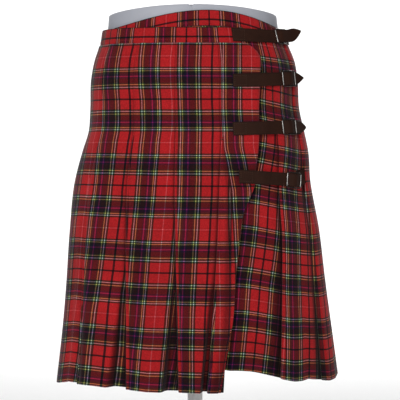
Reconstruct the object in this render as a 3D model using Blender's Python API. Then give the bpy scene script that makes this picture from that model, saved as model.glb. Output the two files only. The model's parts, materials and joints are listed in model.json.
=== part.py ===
# Kilt skirt worn on a limbless dress form that stands on a pole and a round base.
# Metres, +Z up, the front faces -Y. The origin is on the table, under the pole.
# An angle round the body is in degrees from the front's middle, positive towards +X. The cloth is one
# long strip, so its angles run on: +38 is the outer apron's free edge, -180 the back, -270 the side at
# +X and -420 the under apron's hidden end, which lies below the outer apron.

import math

import bmesh
import bpy
import numpy as np
from mathutils import Matrix, Vector

MM = 0.001

# Heights over the table, mm
BAND_TOP = 780.0
BAND_SEAM = 755.0
HEM = 200.0

# Thicknesses and clearances, mm
CLOTH = 1.0
BAND_CLOTH = 2.0
BAND_UNDER = 2.7
LEATHER = 2.0
TAB_LEATHER = 1.1
SEAM_GAP = 0.3

# The body's outline at each height: half widths towards -X and +X, depths of the front and the back, mm
OUTLINE_COLUMNS = ("height", "left", "right", "front", "back")
OUTLINE = (
    (200.0, 223.0, 236.0, 141.0, 168.0),
    (280.0, 215.5, 226.5, 134.5, 161.0),
    (364.0, 209.5, 216.0, 130.5, 154.0),
    (449.0, 204.5, 206.0, 128.0, 148.0),
    (535.0, 196.0, 191.0, 127.5, 142.0),
    (583.0, 184.0, 187.5, 128.0, 139.0),
    (612.0, 175.5, 181.5, 128.0, 138.0),
    (650.0, 172.5, 173.0, 126.5, 136.0),
    (700.0, 171.0, 170.0, 123.5, 128.0),
    (730.0, 165.5, 165.0, 120.0, 118.0),
    (755.0, 157.5, 155.0, 117.0, 110.0),
    (780.0, 153.5, 145.0, 113.5, 104.5),
    (810.0, 150.0, 139.0, 111.0, 101.0),
)
FRONT_SQUARE = 2.5
BACK_SQUARE = 2.2

# Each knife pleat: angle of its fold edge at the waist, the yoke's end, middle and hem, how far the cloth
# is tucked under at the hem, how far its face swells, in mm, and the share of the face's width at which
# the hem bends back in a crease, 0 where it has none
PLEAT_COLUMNS = ("name", "waist", "yoke", "middle", "hem", "tuck", "swell", "crease")
PLEAT_HEIGHTS = (755.0, 612.0, 400.0, 200.0)
PLEATS = (
    ("under_1", -310.0, -311.0, -316.3, -322.6, 26.0, 2.0, 0.0),
    ("under_2", -289.0, -289.5, -292.5, -295.7, 30.0, 1.5, 0.0),
    ("seam_right", -265.3, -265.0, -264.0, -263.5, 26.0, 2.5, 0.62),
    ("back_6", -239.6, -239.6, -240.5, -241.5, 28.0, 3.0, 0.0),
    ("back_5", -213.9, -213.9, -214.5, -215.0, 26.0, 2.5, 0.58),
    ("back_4", -188.3, -188.3, -188.0, -188.5, 29.0, 3.2, 0.66),
    ("back_3", -162.6, -162.6, -162.0, -161.0, 27.0, 2.6, 0.0),
    ("back_2", -136.9, -136.9, -136.0, -135.5, 28.0, 3.0, 0.60),
    ("back_1", -111.2, -111.2, -110.5, -109.0, 26.0, 2.4, 0.0),
    ("seam_left", -86.0, -86.0, -85.5, -84.0, 26.0, 2.0, 0.0),
    ("front_4", -61.0, -60.4, -60.0, -57.3, 27.0, 2.2, 0.50),
    ("front_3", -35.0, -33.8, -32.0, -29.3, 32.0, 2.4, 0.53),
    ("front_2", -10.6, -9.9, -8.3, -6.6, 28.0, 2.0, 0.50),
    ("front_1", 14.0, 13.5, 9.3, 4.8, 26.0, 0.8, 0.0),
)
CREASE_FROM = 390.0
CREASE_DRIFT = 0.22
CREASE_HALF = 0.05
UNDER_END = -420.0
UNDER_STEPS = 14
UNDER_FROM = -272.0
UNDER_TURN = 42.0
SEAM_PANELS = {"seam_right": "back_panel", "seam_left": "front_apron"}
SEAM_ALLOWANCE = 0.9

# Cloth rows from the waistband's seam to the hem: height, half the step at a fold, tuck as a share of
# the hem's, inward shift of the under apron, and lift of a tucked hem, mm
ROW_COLUMNS = ("height", "step", "tuck", "under", "lift")
ROWS = (
    (754.6, 1.35, 0.10, 3.3, 0.0),
    (747.0, 1.35, 0.10, 3.5, 0.0),
    (736.0, 1.35, 0.10, 3.8, 0.0),
    (705.0, 1.35, 0.10, 4.4, 0.0),
    (660.0, 1.35, 0.10, 5.0, 0.0),
    (614.0, 1.40, 0.11, 5.6, 0.0),
    (590.0, 2.00, 0.20, 6.2, 0.0),
    (560.0, 2.60, 0.32, 7.0, 0.0),
    (524.0, 3.20, 0.45, 7.8, 0.0),
    (488.0, 3.60, 0.56, 8.6, 0.0),
    (440.0, 4.10, 0.68, 9.4, 0.0),
    (370.0, 4.70, 0.80, 10.4, 0.0),
    (330.0, 5.30, 0.86, 11.2, 0.2),
    (290.0, 6.10, 0.91, 12.2, 0.4),
    (240.0, 7.20, 0.96, 13.2, 0.8),
    (200.0, 8.00, 1.00, 14.0, 1.2),
)

# The hem isn't level: how far it is lifted at each angle of the wrap, mm
HEM_WAVE_COLUMNS = ("angle", "lift")
HEM_WAVE = (
    (-360.0, 0.0),
    (-346.0, -6.0),
    (-336.0, -1.5),
    (-327.0, 0.0),
    (-315.0, 2.5),
    (-305.0, 10.0),
    (-290.0, 5.5),
    (-280.0, 10.0),
    (-266.0, 5.0),
    (-235.0, 0.0),
    (-200.0, 2.5),
    (-165.0, -1.5),
    (-125.0, 2.0),
    (-87.0, -2.5),
    (-78.0, -1.0),
    (-68.0, 4.5),
    (-45.0, 4.0),
    (-30.0, 1.0),
    (-20.0, -2.5),
    (-6.6, -3.0),
    (5.0, -4.5),
    (12.0, -5.0),
)

# The outer apron's free edge: its angle at each height. Its top corner is round and sags
FREE_EDGE_COLUMNS = ("height", "angle")
FREE_EDGE = (
    (200.0, 10.0),
    (231.0, 11.6),
    (277.0, 13.8),
    (310.0, 15.8),
    (362.0, 17.4),
    (418.0, 19.3),
    (455.0, 21.2),
    (488.0, 23.8),
    (512.0, 28.0),
    (524.0, 30.0),
    (562.0, 31.8),
    (631.0, 35.6),
    (702.0, 38.3),
    (736.0, 39.4),
    (747.0, 36.6),
    (755.0, 31.6),
)

# The wrap rises in front where its under end passes below the outer apron
RISE = 28.0
RISE_HEM = 34.0
RISE_MIDDLE = 8.0
RISE_TURN = 1.15
RISE_TURN_HEM = 1.75

# Dress form: outline at each height, mm, and the dip of its rim at the sides
FORM = (
    (466.0, 44.0, 44.0, 34.0, 36.0),
    (474.0, 88.0, 90.0, 66.0, 66.0),
    (505.0, 127.0, 129.0, 95.0, 94.0),
    (550.0, 149.0, 151.0, 110.0, 112.0),
    (600.0, 161.0, 162.0, 116.5, 124.0),
    (650.0, 164.0, 164.0, 117.5, 127.0),
    (700.0, 160.5, 160.0, 114.0, 119.0),
    (730.0, 155.0, 153.5, 111.6, 110.0),
    (755.0, 149.0, 146.5, 109.9, 104.0),
    (780.0, 145.5, 139.5, 108.2, 99.5),
    (800.0, 144.0, 137.0, 107.0, 97.5),
    (817.5, 143.0, 135.5, 105.5, 96.0),
)
FORM_SIDES = 56
RIM_DIP = 12.5
RIM_DIP_FROM = 755.0
RIM_EDGE = 1.6
CAP_HEIGHT = 3.0
NOTCH_ANGLE = -2.4
NOTCH_HALF = 1.9
NOTCH_DEPTH = 3.3

# Stand, mm
POLE_RADIUS = 12.5
COLLAR_RADIUS = 30.0
COLLAR_HEIGHT = 14.0
BASE_RADIUS = 150.0
BASE_HEIGHT = 14.0
BASE_BEVEL = 4.0

# Straps: height and angle of the sewn end, height and angle of the buckle's middle, turn of the buckle
# towards the front and its slope, the tail's length, turn and rise, whether the tail lies over the
# buckle's last bar, and how far the tab that holds the buckle rises, in degrees and mm
STRAP_COLUMNS = (
    "name", "height", "angle", "buckle_height", "buckle_angle", "turn", "slope",
    "tail", "tail_turn", "tail_rise", "tail_over", "tab_rise",
)
STRAPS = (
    ("1", 768.0, 23.4, 768.0, 66.0, 9.0, 1.0, 27.0, -6.0, 8.5, True, 0.0),
    ("2", 694.0, 20.7, 699.0, 61.6, 9.0, 3.0, 19.0, -2.0, 0.5, False, 0.0),
    ("3", 617.0, 19.6, 620.5, 57.0, 6.0, 2.0, 34.0, 20.0, 0.0, False, 0.0),
    ("4", 541.0, 21.5, 534.0, 56.0, 6.0, -6.0, 12.0, 10.0, 0.0, False, 9.0),
)
BAND_END = 32.0
STRAP_WIDTH = 21.5
STRAP_STEPS = 9
STRAP_EASE = 0.25
EDGE_MARGIN = 6.0
TAIL_POINT = 16.0
TAIL_TIP = 0.1
TAB_LENGTH = 31.0
TAB_STATIONS = (31.0, 24.0, 17.0, 11.0)
TAB_DROP = 1.8
NEARBY = 9.0

# Buckle: a wire frame with a middle bar, mm
FRAME_LENGTH = 30.0
FRAME_HEIGHT = 26.4
FRAME_CORNER = 2.6
WIRE = 2.0


def clear_scene():
    for item in list(bpy.data.objects):
        bpy.data.objects.remove(item, do_unlink=True)


def material(name, colour, roughness, metallic=0.0):
    made = bpy.data.materials.new(name)
    made.use_nodes = True
    shader = made.node_tree.nodes["Principled BSDF"]
    shader.inputs["Base Color"].default_value = (*colour, 1.0)
    shader.inputs["Roughness"].default_value = roughness
    shader.inputs["Metallic"].default_value = metallic
    return made


def add_object(name, mesh, surface, smooth=False):
    made = bpy.data.objects.new(name, mesh)
    bpy.context.scene.collection.objects.link(made)
    mesh.materials.append(surface)
    if smooth:
        mesh.shade_smooth()
    return made


def smooth_table(table, column, at):
    """A column of a table at the heights asked for, by a cubic through its rows."""
    rows = np.array([[row[0], row[column]] for row in table], dtype=float)
    known, values = rows[:, 0], rows[:, 1]
    slopes = np.gradient(values, known)
    at = np.clip(np.asarray(at, dtype=float), known[0], known[-1])
    cell = np.clip(np.searchsorted(known, at) - 1, 0, len(known) - 2)
    width = known[cell + 1] - known[cell]
    share = (at - known[cell]) / width
    back = 1.0 - share
    return (
        values[cell] * back * back * (1.0 + 2.0 * share)
        + values[cell + 1] * share * share * (3.0 - 2.0 * share)
        + slopes[cell] * width * share * back * back
        - slopes[cell + 1] * width * share * share * back
    )


def ring_points(table, angles, height):
    """Points of the body's section at one height, for angles in degrees."""
    left, right, front, back = (smooth_table(table, column, height) for column in (1, 2, 3, 4))
    sine = np.sin(np.radians(angles))
    cosine = np.cos(np.radians(angles))
    half_width = np.where(sine > 0.0, right, left)
    depth = np.where(cosine > 0.0, front, back)
    square = np.where(cosine > 0.0, FRONT_SQUARE, BACK_SQUARE)
    inside = np.maximum(1.0 - np.abs(sine) ** square, 0.0)
    return np.column_stack([half_width * sine, -np.sign(cosine) * depth * inside ** (1.0 / square)])


class Section:
    """The body's outline at one height, measured along the cloth from its hidden end."""

    def __init__(self, height):
        self.angles = np.arange(UNDER_END - 6.0, 96.0, 0.25)
        self.points = ring_points(OUTLINE, self.angles, height)
        steps = np.hypot(*np.diff(self.points, axis=0).T)
        self.lengths = np.concatenate([[0.0], np.cumsum(steps)])
        along = np.gradient(self.points, self.lengths, axis=0)
        along /= np.hypot(*along.T)[:, None]
        self.outward = np.column_stack([along[:, 1], -along[:, 0]])

    def length_at(self, angle):
        return np.interp(angle, self.angles, self.lengths)

    def angle_at(self, length):
        return np.interp(length, self.lengths, self.angles)

    def out(self, lengths):
        found = np.column_stack([np.interp(lengths, self.lengths, self.outward[:, axis]) for axis in (0, 1)])
        return found / np.hypot(*found.T)[:, None]

    def place(self, lengths, offsets):
        lengths, offsets = np.atleast_1d(lengths, offsets)
        at = np.column_stack([np.interp(lengths, self.lengths, self.points[:, axis]) for axis in (0, 1)])
        return at + self.out(lengths) * offsets[:, None]


def turned_from_front(angle):
    """The same direction as an angle of -180 to 180 degrees."""
    return (np.asarray(angle) + 180.0) % 360.0 - 180.0


def rise_at(angle, share):
    """How far the under end of the wrap is lifted, from the waist (share 0) to the hem (share 1)."""
    turn = RISE_TURN + (RISE_TURN_HEM - RISE_TURN) * share
    away = np.clip(turn * (turned_from_front(angle) - RISE_MIDDLE), -90.0, 90.0)
    lift = (RISE + (RISE_HEM - RISE) * share) * np.cos(np.radians(away)) ** 2
    return np.where(np.asarray(angle) < -180.0, lift, 0.0)


def under_share(angle):
    """0 where the wrap is the outer layer, 1 where it lies below the outer apron."""
    share = np.clip((UNDER_FROM - np.asarray(angle)) / UNDER_TURN, 0.0, 1.0)
    return share * share * (3.0 - 2.0 * share)


def hem_wave(angle, share):
    """How far the cloth is lifted by the hem's wave, from nothing at the waist (share 0) to all at the hem."""
    angles, lifts = zip(*HEM_WAVE)
    return np.interp(angle, angles, lifts) * np.asarray(share) ** 2


def pleat_angle(pleat, height):
    return np.interp(height, PLEAT_HEIGHTS[::-1], pleat[4:0:-1])


def fold_run(start, step, tuck):
    """A pleat's fold: the bottom layer ends under it, and the top layer starts over it."""
    bend = 0.5 * step
    tuck = max(tuck, 2.0 * bend + 0.2)
    return [
        (start + tuck - bend, -step),
        (start + tuck, -0.5 * step),
        (start + tuck - bend, 0.0),
        (start + bend, 0.0),
        (start, 0.5 * step),
        (start + bend, step),
    ]


def face_run(begin, end, swell, shares):
    """Points on a pleat's face between two folds."""
    return [
        (
            begin[0] + (end[0] - begin[0]) * share,
            begin[1] + (end[1] - begin[1]) * share + swell * math.sin(math.pi * share),
        )
        for share in shares
    ]


def creased_run(begin, end, swell, crease, height):
    """A face that bends back in a crease towards the hem, and then lies level with the next pleat's tuck."""
    fallen = max(0.0, (CREASE_FROM - height) / (CREASE_FROM - HEM)) if crease else 0.0
    crease = (crease or 0.5) + CREASE_DRIFT * min(1.0, max(0.0, (height - HEM) / (CREASE_FROM - HEM)))
    shares = (0.2, 0.7 * crease, crease - CREASE_HALF, crease + CREASE_HALF, 0.5 * (1.0 + crease))
    run = []
    for share, point in zip(shares, face_run(begin, end, swell, shares)):
        level = begin[1] + swell * math.sin(math.pi * share) if share < crease else end[1]
        run.append((point[0], point[1] + (level - point[1]) * fallen))
    return run


def cloth_row(row):
    """Runs of (length, offset) at one height for the under apron, back panel and front apron."""
    height, step, tuck_share, _, _ = row
    section = Section(height)
    hem_share = (BAND_SEAM - height) / (BAND_SEAM - HEM)
    free = float(section.length_at(smooth_table(FREE_EDGE, 1, height)))
    folds = []
    for pleat in PLEATS:
        start = float(section.length_at(pleat_angle(pleat, height)))
        folds.append(fold_run(start, step, pleat[5] * tuck_share))
    runs = {"under_apron": [], "back_panel": [], "front_apron": []}
    hidden_end = (float(section.length_at(UNDER_END)), 0.0)
    current = runs["under_apron"]
    current.append(hidden_end)
    current += face_run(hidden_end, folds[0][0], 0.0, np.linspace(0.07, 0.93, UNDER_STEPS))
    for index, (pleat, fold) in enumerate(zip(PLEATS, folds)):
        seam = SEAM_PANELS.get(pleat[0])
        if seam:
            current.append((fold[0][0] - SEAM_ALLOWANCE - SEAM_GAP, fold[0][1]))
            current = runs[seam]
            current.append((fold[0][0] - SEAM_ALLOWANCE, fold[0][1]))
        current += fold
        swell = pleat[6] * hem_share
        if index + 1 < len(folds):
            current += creased_run(fold[-1], folds[index + 1][0], swell, pleat[7], height)
        else:
            last = (free, 0.3 * step)
            current += face_run(fold[-1], last, swell, (0.25, 0.5, 0.75))
            current.append(last)
    return section, runs


def cloth_grid(name):
    """Rows of points along the middle of one panel's cloth, from the waist's seam to the hem."""
    grid = []
    for row in ROWS:
        height, step, _, under, lift = row
        hem_share = (BAND_SEAM - height) / (BAND_SEAM - HEM)
        section, runs = cloth_row(row)
        lengths, offsets = np.array(runs[name]).T
        angles = section.angle_at(lengths)
        shifted = offsets - under * under_share(angles)
        tucked = lift * 0.5 * (1.0 - np.clip(offsets / step, -1.0, 1.0))
        heights = height + rise_at(angles, hem_share) + hem_wave(angles, hem_share) + tucked
        plan = ring_points(OUTLINE, angles, heights) + section.out(lengths) * shifted[:, None]
        grid.append(np.column_stack([plan, heights]))
    return np.array(grid)


def plan_normals(row):
    """Outward directions in plan along a row of points, lengthened at a bend so the wall keeps its width."""
    steps = np.diff(row[:, :2], axis=0)
    steps /= np.hypot(*steps.T)[:, None]
    sides = np.column_stack([steps[:, 1], -steps[:, 0]])
    before = np.vstack([sides[:1], sides])
    after = np.vstack([sides, sides[-1:]])
    middle = before + after
    middle /= np.hypot(*middle.T)[:, None]
    stretch = 1.0 / np.clip((middle * after).sum(axis=1), 0.6, 1.0)
    return middle * stretch[:, None]


def wall(name, grid, thickness, surface):
    """A closed wall round a grid of middle points: rows run downwards, columns anticlockwise from above."""
    rows, columns = grid.shape[:2]
    outer = grid.copy()
    inner = grid.copy()
    for index in range(rows):
        shift = 0.5 * thickness * plan_normals(grid[index])
        outer[index, :, :2] += shift
        inner[index, :, :2] -= shift
    points = np.concatenate([outer.reshape(-1, 3), inner.reshape(-1, 3)]) * MM
    count = rows * columns
    faces = []
    for i in range(rows - 1):
        for j in range(columns - 1):
            a, b = i * columns + j, (i + 1) * columns + j
            faces += [(a, b, b + 1), (a, b + 1, a + 1)]
            faces += [(count + a, count + b + 1, count + b), (count + a, count + a + 1, count + b + 1)]
    for j in range(columns - 1):
        low = (rows - 1) * columns + j
        faces.append((j, j + 1, count + j + 1, count + j))
        faces.append((low, count + low, count + low + 1, low + 1))
    for i in range(rows - 1):
        a, b = i * columns, (i + 1) * columns
        c, d = a + columns - 1, b + columns - 1
        faces.append((a, count + a, count + b, b))
        faces.append((c, d, count + d, count + c))
    mesh = bpy.data.meshes.new(name)
    mesh.from_pydata(points.tolist(), [], faces)
    mesh.update()
    return add_object(name, mesh, surface)


def waistband(surface):
    """One folded strip round the body one and a quarter times, its under end rising in front."""
    angles = np.concatenate([
        np.arange(UNDER_END, UNDER_FROM, 5.0),
        np.linspace(UNDER_FROM, BAND_END, 46),
    ])
    sections = {}
    grid = []
    for share in (0.0, 0.5, 1.0):
        row = []
        for angle in angles:
            height = BAND_TOP + (BAND_SEAM - BAND_TOP) * share + float(rise_at(angle, 0.0))
            level = round(height, 1)
            if level not in sections:
                sections[level] = Section(level)
            section = sections[level]
            offset = -BAND_UNDER * float(under_share(angle))
            plan = section.place(section.length_at(angle), offset)[0]
            row.append((plan[0], plan[1], height))
        grid.append(row)
    return wall("waistband", np.array(grid), BAND_CLOTH, surface)


def row_at(height):
    """The cloth row's values at any height below the waistband's seam."""
    known = [row[0] for row in ROWS][::-1]
    at = min(height, ROWS[0][0])
    return (at, *(float(np.interp(at, known, [row[i] for row in ROWS][::-1])) for i in range(1, 5)))


def outer_surface(height, angle):
    """How far the cloth's face lies outside the body's outline, at one height and angle of the wrap."""
    share = float(under_share(angle))
    if height - float(rise_at(angle, 0.0)) > BAND_SEAM - 1.0:
        return 0.5 * BAND_CLOTH - BAND_UNDER * share
    row = row_at(height)
    section, runs = cloth_row(row)
    at = min(float(section.length_at(angle)), runs["front_apron"][-1][0])
    found = []
    for run in runs.values():
        lengths, offsets = np.array(run).T
        near = np.abs(lengths - at) < NEARBY
        found += list(offsets[near])
        if lengths.min() <= at <= lengths.max():
            nearest = np.argsort(np.abs(lengths - at))[:2]
            found += list(offsets[nearest])
    return max(found) + 0.5 * CLOTH - row[3] * share


def free_angle(height):
    """Where the outer layer ends at this height: the waistband's end or the outer apron's free edge."""
    if height > BAND_SEAM - 1.0:
        return BAND_END
    return float(smooth_table(FREE_EDGE, 1, height))


def wrap_angle(height, angle):
    """The wrap's angle for the layer that shows at an angle on the front."""
    return angle if angle < free_angle(height) + EDGE_MARGIN else angle - 360.0


def buckle_place(strap):
    """The buckle's middle and its three directions: along the strap, up and outwards, in mm."""
    _, _, _, height, angle, turn, slope, *_ = strap
    stack = 2.0 * TAB_LEATHER + LEATHER + 4.0 * SEAM_GAP + STRAP_EASE + 0.5 * WIRE
    ends = []
    for rise in (-0.5 * STRAP_WIDTH, 0.5 * STRAP_WIDTH):
        section = Section(height + rise)
        lift = outer_surface(height + rise, angle - 360.0) + stack
        ends.append(np.append(section.place(section.length_at(angle), lift)[0], height + rise))
    section = Section(height)
    nearby = section.place(section.length_at(angle) + np.array([-0.5, 0.5]), np.zeros(2))
    along = Vector((*(nearby[1] - nearby[0]), 0.0)).normalized()
    along = Matrix.Rotation(math.radians(-turn), 3, "Z") @ along
    along = (along + Vector((0.0, 0.0, math.tan(math.radians(slope))))).normalized()
    up = Vector(ends[1] - ends[0]).normalized()
    outward = along.cross(up).normalized()
    up = outward.cross(along).normalized()
    return Vector(0.5 * (ends[0] + ends[1])), along, up, outward


def strap_row(strap, rise):
    """Points of a strap's middle at one height over its middle line."""
    _, height, angle, *_, tail, tail_turn, tail_rise, tail_over, _ = strap
    centre, along, up, outward = buckle_place(strap)
    half = 0.5 * FRAME_LENGTH - 0.5 * WIRE
    under_bar = -(0.5 * WIRE + SEAM_GAP + 0.5 * LEATHER)
    over_loop = 0.5 * WIRE + SEAM_GAP + TAB_LEATHER + SEAM_GAP + 0.5 * LEATHER
    passing = (
        (-half - 3.0, under_bar),
        (-half + 1.0, under_bar),
        (-5.0, 0.72 * over_loop),
        (-2.0, over_loop),
        (2.0, over_loop),
        (5.0, (1.0 if tail_over else 0.72) * over_loop),
        (half - 1.0, over_loop if tail_over else under_bar),
        (half + 3.0, over_loop if tail_over else under_bar),
    )
    through = [centre + along * step + up * rise + outward * out for step, out in passing]
    meet = np.array(through[0])
    level = height + rise
    section = Section(level)
    front = np.abs(section.angles - 45.0) < 45.0
    distance = np.where(front, np.hypot(*(section.points - meet[:2]).T), 1e3)
    nearest = int(np.argmin(distance))
    gap = float(np.dot(meet[:2] - section.points[nearest], section.outward[nearest]))
    first = float(section.length_at(angle))
    points = []
    for step in range(STRAP_STEPS):
        share = step / STRAP_STEPS
        at_height = level + (meet[2] - level) * share
        here = Section(at_height)
        length = float(here.length_at(angle)) * (1.0 - share)
        length += float(here.length_at(section.angles[nearest])) * share
        shown = wrap_angle(at_height, float(here.angle_at(length)))
        face = max(outer_surface(at_height, shown + near) for near in (-1.0, 0.0, 1.0))
        seat = face + SEAM_GAP + 0.5 * LEATHER + STRAP_EASE
        plan = here.place(length, max(seat, gap * share ** 3))[0]
        points.append((plan[0], plan[1], at_height))
    bend = Matrix.Rotation(math.radians(tail_turn), 3, up)
    end_along = bend @ along
    points += [tuple(point) for point in through]
    for share in (0.35, 0.7, 1.0):
        point = through[-1] + end_along * (tail * share)
        points.append((point.x, point.y, point.z + tail_rise * share))
    return np.array(points)


def build_strap(strap, surface):
    """A leather strap, square where it is sewn on and pointed at its tail."""
    half = 0.5 * STRAP_WIDTH
    rows = [strap_row(strap, rise) for rise in (half, 0.0, -half)]
    middle = rows[1]
    steps = np.concatenate([[0.0], np.cumsum(np.linalg.norm(np.diff(middle, axis=0), axis=1))])
    share = np.clip(TAIL_TIP + (1.0 - TAIL_TIP) * (steps[-1] - steps) / TAIL_POINT, 0.0, 1.0)[:, None]
    grid = [middle + (row - middle) * share for row in rows]
    return wall("strap_" + strap[0], np.array(grid), LEATHER, surface)


def build_tab(strap, surface):
    """The leather that is folded round the buckle's middle bar and sewn to the cloth beyond it."""
    centre, along, up, outward = buckle_place(strap)
    _, _, _, height, angle, *_, tab_rise = strap
    radius = 0.5 * WIRE + SEAM_GAP + 0.5 * TAB_LEATHER
    apart = 0.5 * TAB_LEATHER + 0.5 * SEAM_GAP
    loop = [(3.6, -radius - 1.4)]
    loop += [
        (radius * math.sin(turn), -radius * math.cos(turn))
        for turn in np.radians((0.0, -40.0, -80.0, -120.0, -160.0, -195.0))
    ]
    loop += [(3.2, -0.35 * radius)]
    half = 0.5 * STRAP_WIDTH - SEAM_GAP
    grid = []
    for rise, drop in ((half, 0.0), (-half, -TAB_DROP)):
        lower, upper = [], []
        for step in TAB_STATIONS:
            level = height + rise + drop + tab_rise * step / TAB_LENGTH
            section = Section(level)
            length = float(section.length_at(angle)) + step
            at = float(section.angle_at(length))
            face = max(outer_surface(level + near, at - 360.0) for near in (-8.0, -3.0, 0.0, 3.0, 8.0))
            for side, part in ((-1.0, lower), (1.0, upper)):
                offset = face + SEAM_GAP + STRAP_EASE + 0.5 * TAB_LEATHER + apart * (1.0 + side)
                plan = section.place(length, offset)[0]
                part.append((plan[0], plan[1], level))
        around = []
        for step, out in loop:
            point = centre + along * step + up * rise + outward * out
            around.append(tuple(point))
        run = lower + around + upper[::-1]
        grid.append(run[::-1])
    return wall("buckle_tab_" + strap[0], np.array(grid), TAB_LEATHER, surface)


def rounded_rectangle(length, height, corner, steps):
    points = []
    for turn, x, y in ((0, 1, 1), (90, -1, 1), (180, -1, -1), (270, 1, -1)):
        for step in range(steps + 1):
            angle = math.radians(turn + 90.0 * step / steps)
            points.append((
                x * (0.5 * length - corner) + corner * math.cos(angle),
                y * (0.5 * height - corner) + corner * math.sin(angle),
            ))
    return points


def build_buckle(strap, surface):
    """A wire frame bent to a rectangle, with its middle bar joined to both long sides."""
    centre, along, up, outward = buckle_place(strap)
    path = rounded_rectangle(FRAME_LENGTH - WIRE, FRAME_HEIGHT - WIRE, FRAME_CORNER, 3)
    sides = 8
    mesh = bmesh.new()
    rings = []
    for index, (x, y) in enumerate(path):
        before, after = path[index - 1], path[(index + 1) % len(path)]
        ahead = Vector((after[0] - before[0], after[1] - before[1])).normalized()
        across = Vector((ahead.y, -ahead.x))
        ring = []
        for side in range(sides):
            angle = 2.0 * math.pi * side / sides
            reach = 0.5 * WIRE * math.cos(angle)
            ring.append(mesh.verts.new((x + across.x * reach, y + across.y * reach, 0.5 * WIRE * math.sin(angle))))
        rings.append(ring)
    for index, ring in enumerate(rings):
        following = rings[(index + 1) % len(rings)]
        for side in range(sides):
            other = (side + 1) % sides
            mesh.faces.new((ring[side], ring[other], following[other], following[side]))
    bmesh.ops.recalc_face_normals(mesh, faces=mesh.faces)
    frame_mesh = bpy.data.meshes.new("buckle_" + strap[0])
    mesh.to_mesh(frame_mesh)
    mesh.free()
    frame = add_object("buckle_" + strap[0], frame_mesh, surface, smooth=True)
    bar_mesh = bpy.data.meshes.new("middle_bar_" + strap[0])
    mesh = bmesh.new()
    upright = Matrix.Rotation(math.radians(90.0), 4, "X")
    bmesh.ops.create_cone(
        mesh, cap_ends=True, segments=8, radius1=0.46 * WIRE, radius2=0.46 * WIRE,
        depth=FRAME_HEIGHT - 1.4 * WIRE, matrix=upright,
    )
    mesh.to_mesh(bar_mesh)
    mesh.free()
    bar = add_object("middle_bar_" + strap[0], bar_mesh, surface)
    bar.hide_render = True
    bar.display_type = "WIRE"
    joined = frame.modifiers.new("middle_bar", "BOOLEAN")
    joined.operation = "UNION"
    joined.solver = "EXACT"
    joined.object = bar
    for item in (frame, bar):
        item.matrix_world = Matrix((
            (along.x * MM, up.x * MM, outward.x * MM, centre.x * MM),
            (along.y * MM, up.y * MM, outward.y * MM, centre.y * MM),
            (along.z * MM, up.z * MM, outward.z * MM, centre.z * MM),
            (0.0, 0.0, 0.0, 1.0),
        ))
    return frame


def form_angles():
    even = np.linspace(-180.0, 180.0, FORM_SIDES + 1)[:-1]
    near = np.abs(even - NOTCH_ANGLE) < NOTCH_HALF + 1.5
    notch = [NOTCH_ANGLE - NOTCH_HALF, NOTCH_ANGLE, NOTCH_ANGLE + NOTCH_HALF]
    return np.sort(np.concatenate([even[~near], notch]))


def build_form(surface):
    """A smooth hip form with a plain closed top and a small nick in the front of its rim."""
    angles = form_angles()
    sideways = np.sin(np.radians(angles)) ** 2
    nick = np.where(np.abs(angles - NOTCH_ANGLE) < 0.1, NOTCH_DEPTH, 0.0)
    rings = []
    for row in FORM:
        height = row[0]
        share = np.clip((height - RIM_DIP_FROM) / (FORM[-1][0] - RIM_DIP_FROM), 0.0, 1.0)
        plan = ring_points(FORM, angles, height)
        heights = height - RIM_DIP * share * sideways
        rings.append(np.column_stack([plan, heights]))
    rim = rings[-1]
    rings[-1] = rim - np.column_stack([np.zeros_like(rim[:, :2]), RIM_EDGE + nick])
    for inset, drop in ((0.988, 0.0), (0.94, -0.4)):
        ring = rim.copy()
        ring[:, :2] *= inset
        ring[:, 2] -= drop + nick * (inset > 0.97)
        rings.append(ring)
    mesh = bmesh.new()
    loops = [[mesh.verts.new(point * MM) for point in ring] for ring in rings]
    for lower, upper in zip(loops, loops[1:]):
        for side in range(len(lower)):
            other = (side + 1) % len(lower)
            mesh.faces.new((lower[side], lower[other], upper[other], upper[side]))
    foot = mesh.verts.new((0.0, 0.0, FORM[0][0] * MM))
    crown = mesh.verts.new((0.0, 0.0, (FORM[-1][0] + CAP_HEIGHT - 0.5 * RIM_DIP) * MM))
    for side in range(len(angles)):
        other = (side + 1) % len(angles)
        mesh.faces.new((loops[0][other], loops[0][side], foot))
        mesh.faces.new((loops[-1][side], loops[-1][other], crown))
    bmesh.ops.recalc_face_normals(mesh, faces=mesh.faces)
    made = bpy.data.meshes.new("hip_form")
    mesh.to_mesh(made)
    mesh.free()
    return add_object("hip_form", made, surface, smooth=True)


def turned(name, profile, sides, surface):
    """A solid of revolution from (radius, height) pairs in mm, closed at both ends."""
    mesh = bmesh.new()
    loops = []
    for radius, height in profile:
        loops.append([
            mesh.verts.new((
                radius * MM * math.cos(2.0 * math.pi * side / sides),
                radius * MM * math.sin(2.0 * math.pi * side / sides),
                height * MM,
            ))
            for side in range(sides)
        ])
    for lower, upper in zip(loops, loops[1:]):
        for side in range(sides):
            other = (side + 1) % sides
            mesh.faces.new((lower[side], lower[other], upper[other], upper[side]))
    mesh.faces.new(loops[0][::-1])
    mesh.faces.new(loops[-1])
    made = bpy.data.meshes.new(name)
    mesh.to_mesh(made)
    mesh.free()
    return add_object(name, made, surface, smooth=True)


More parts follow.
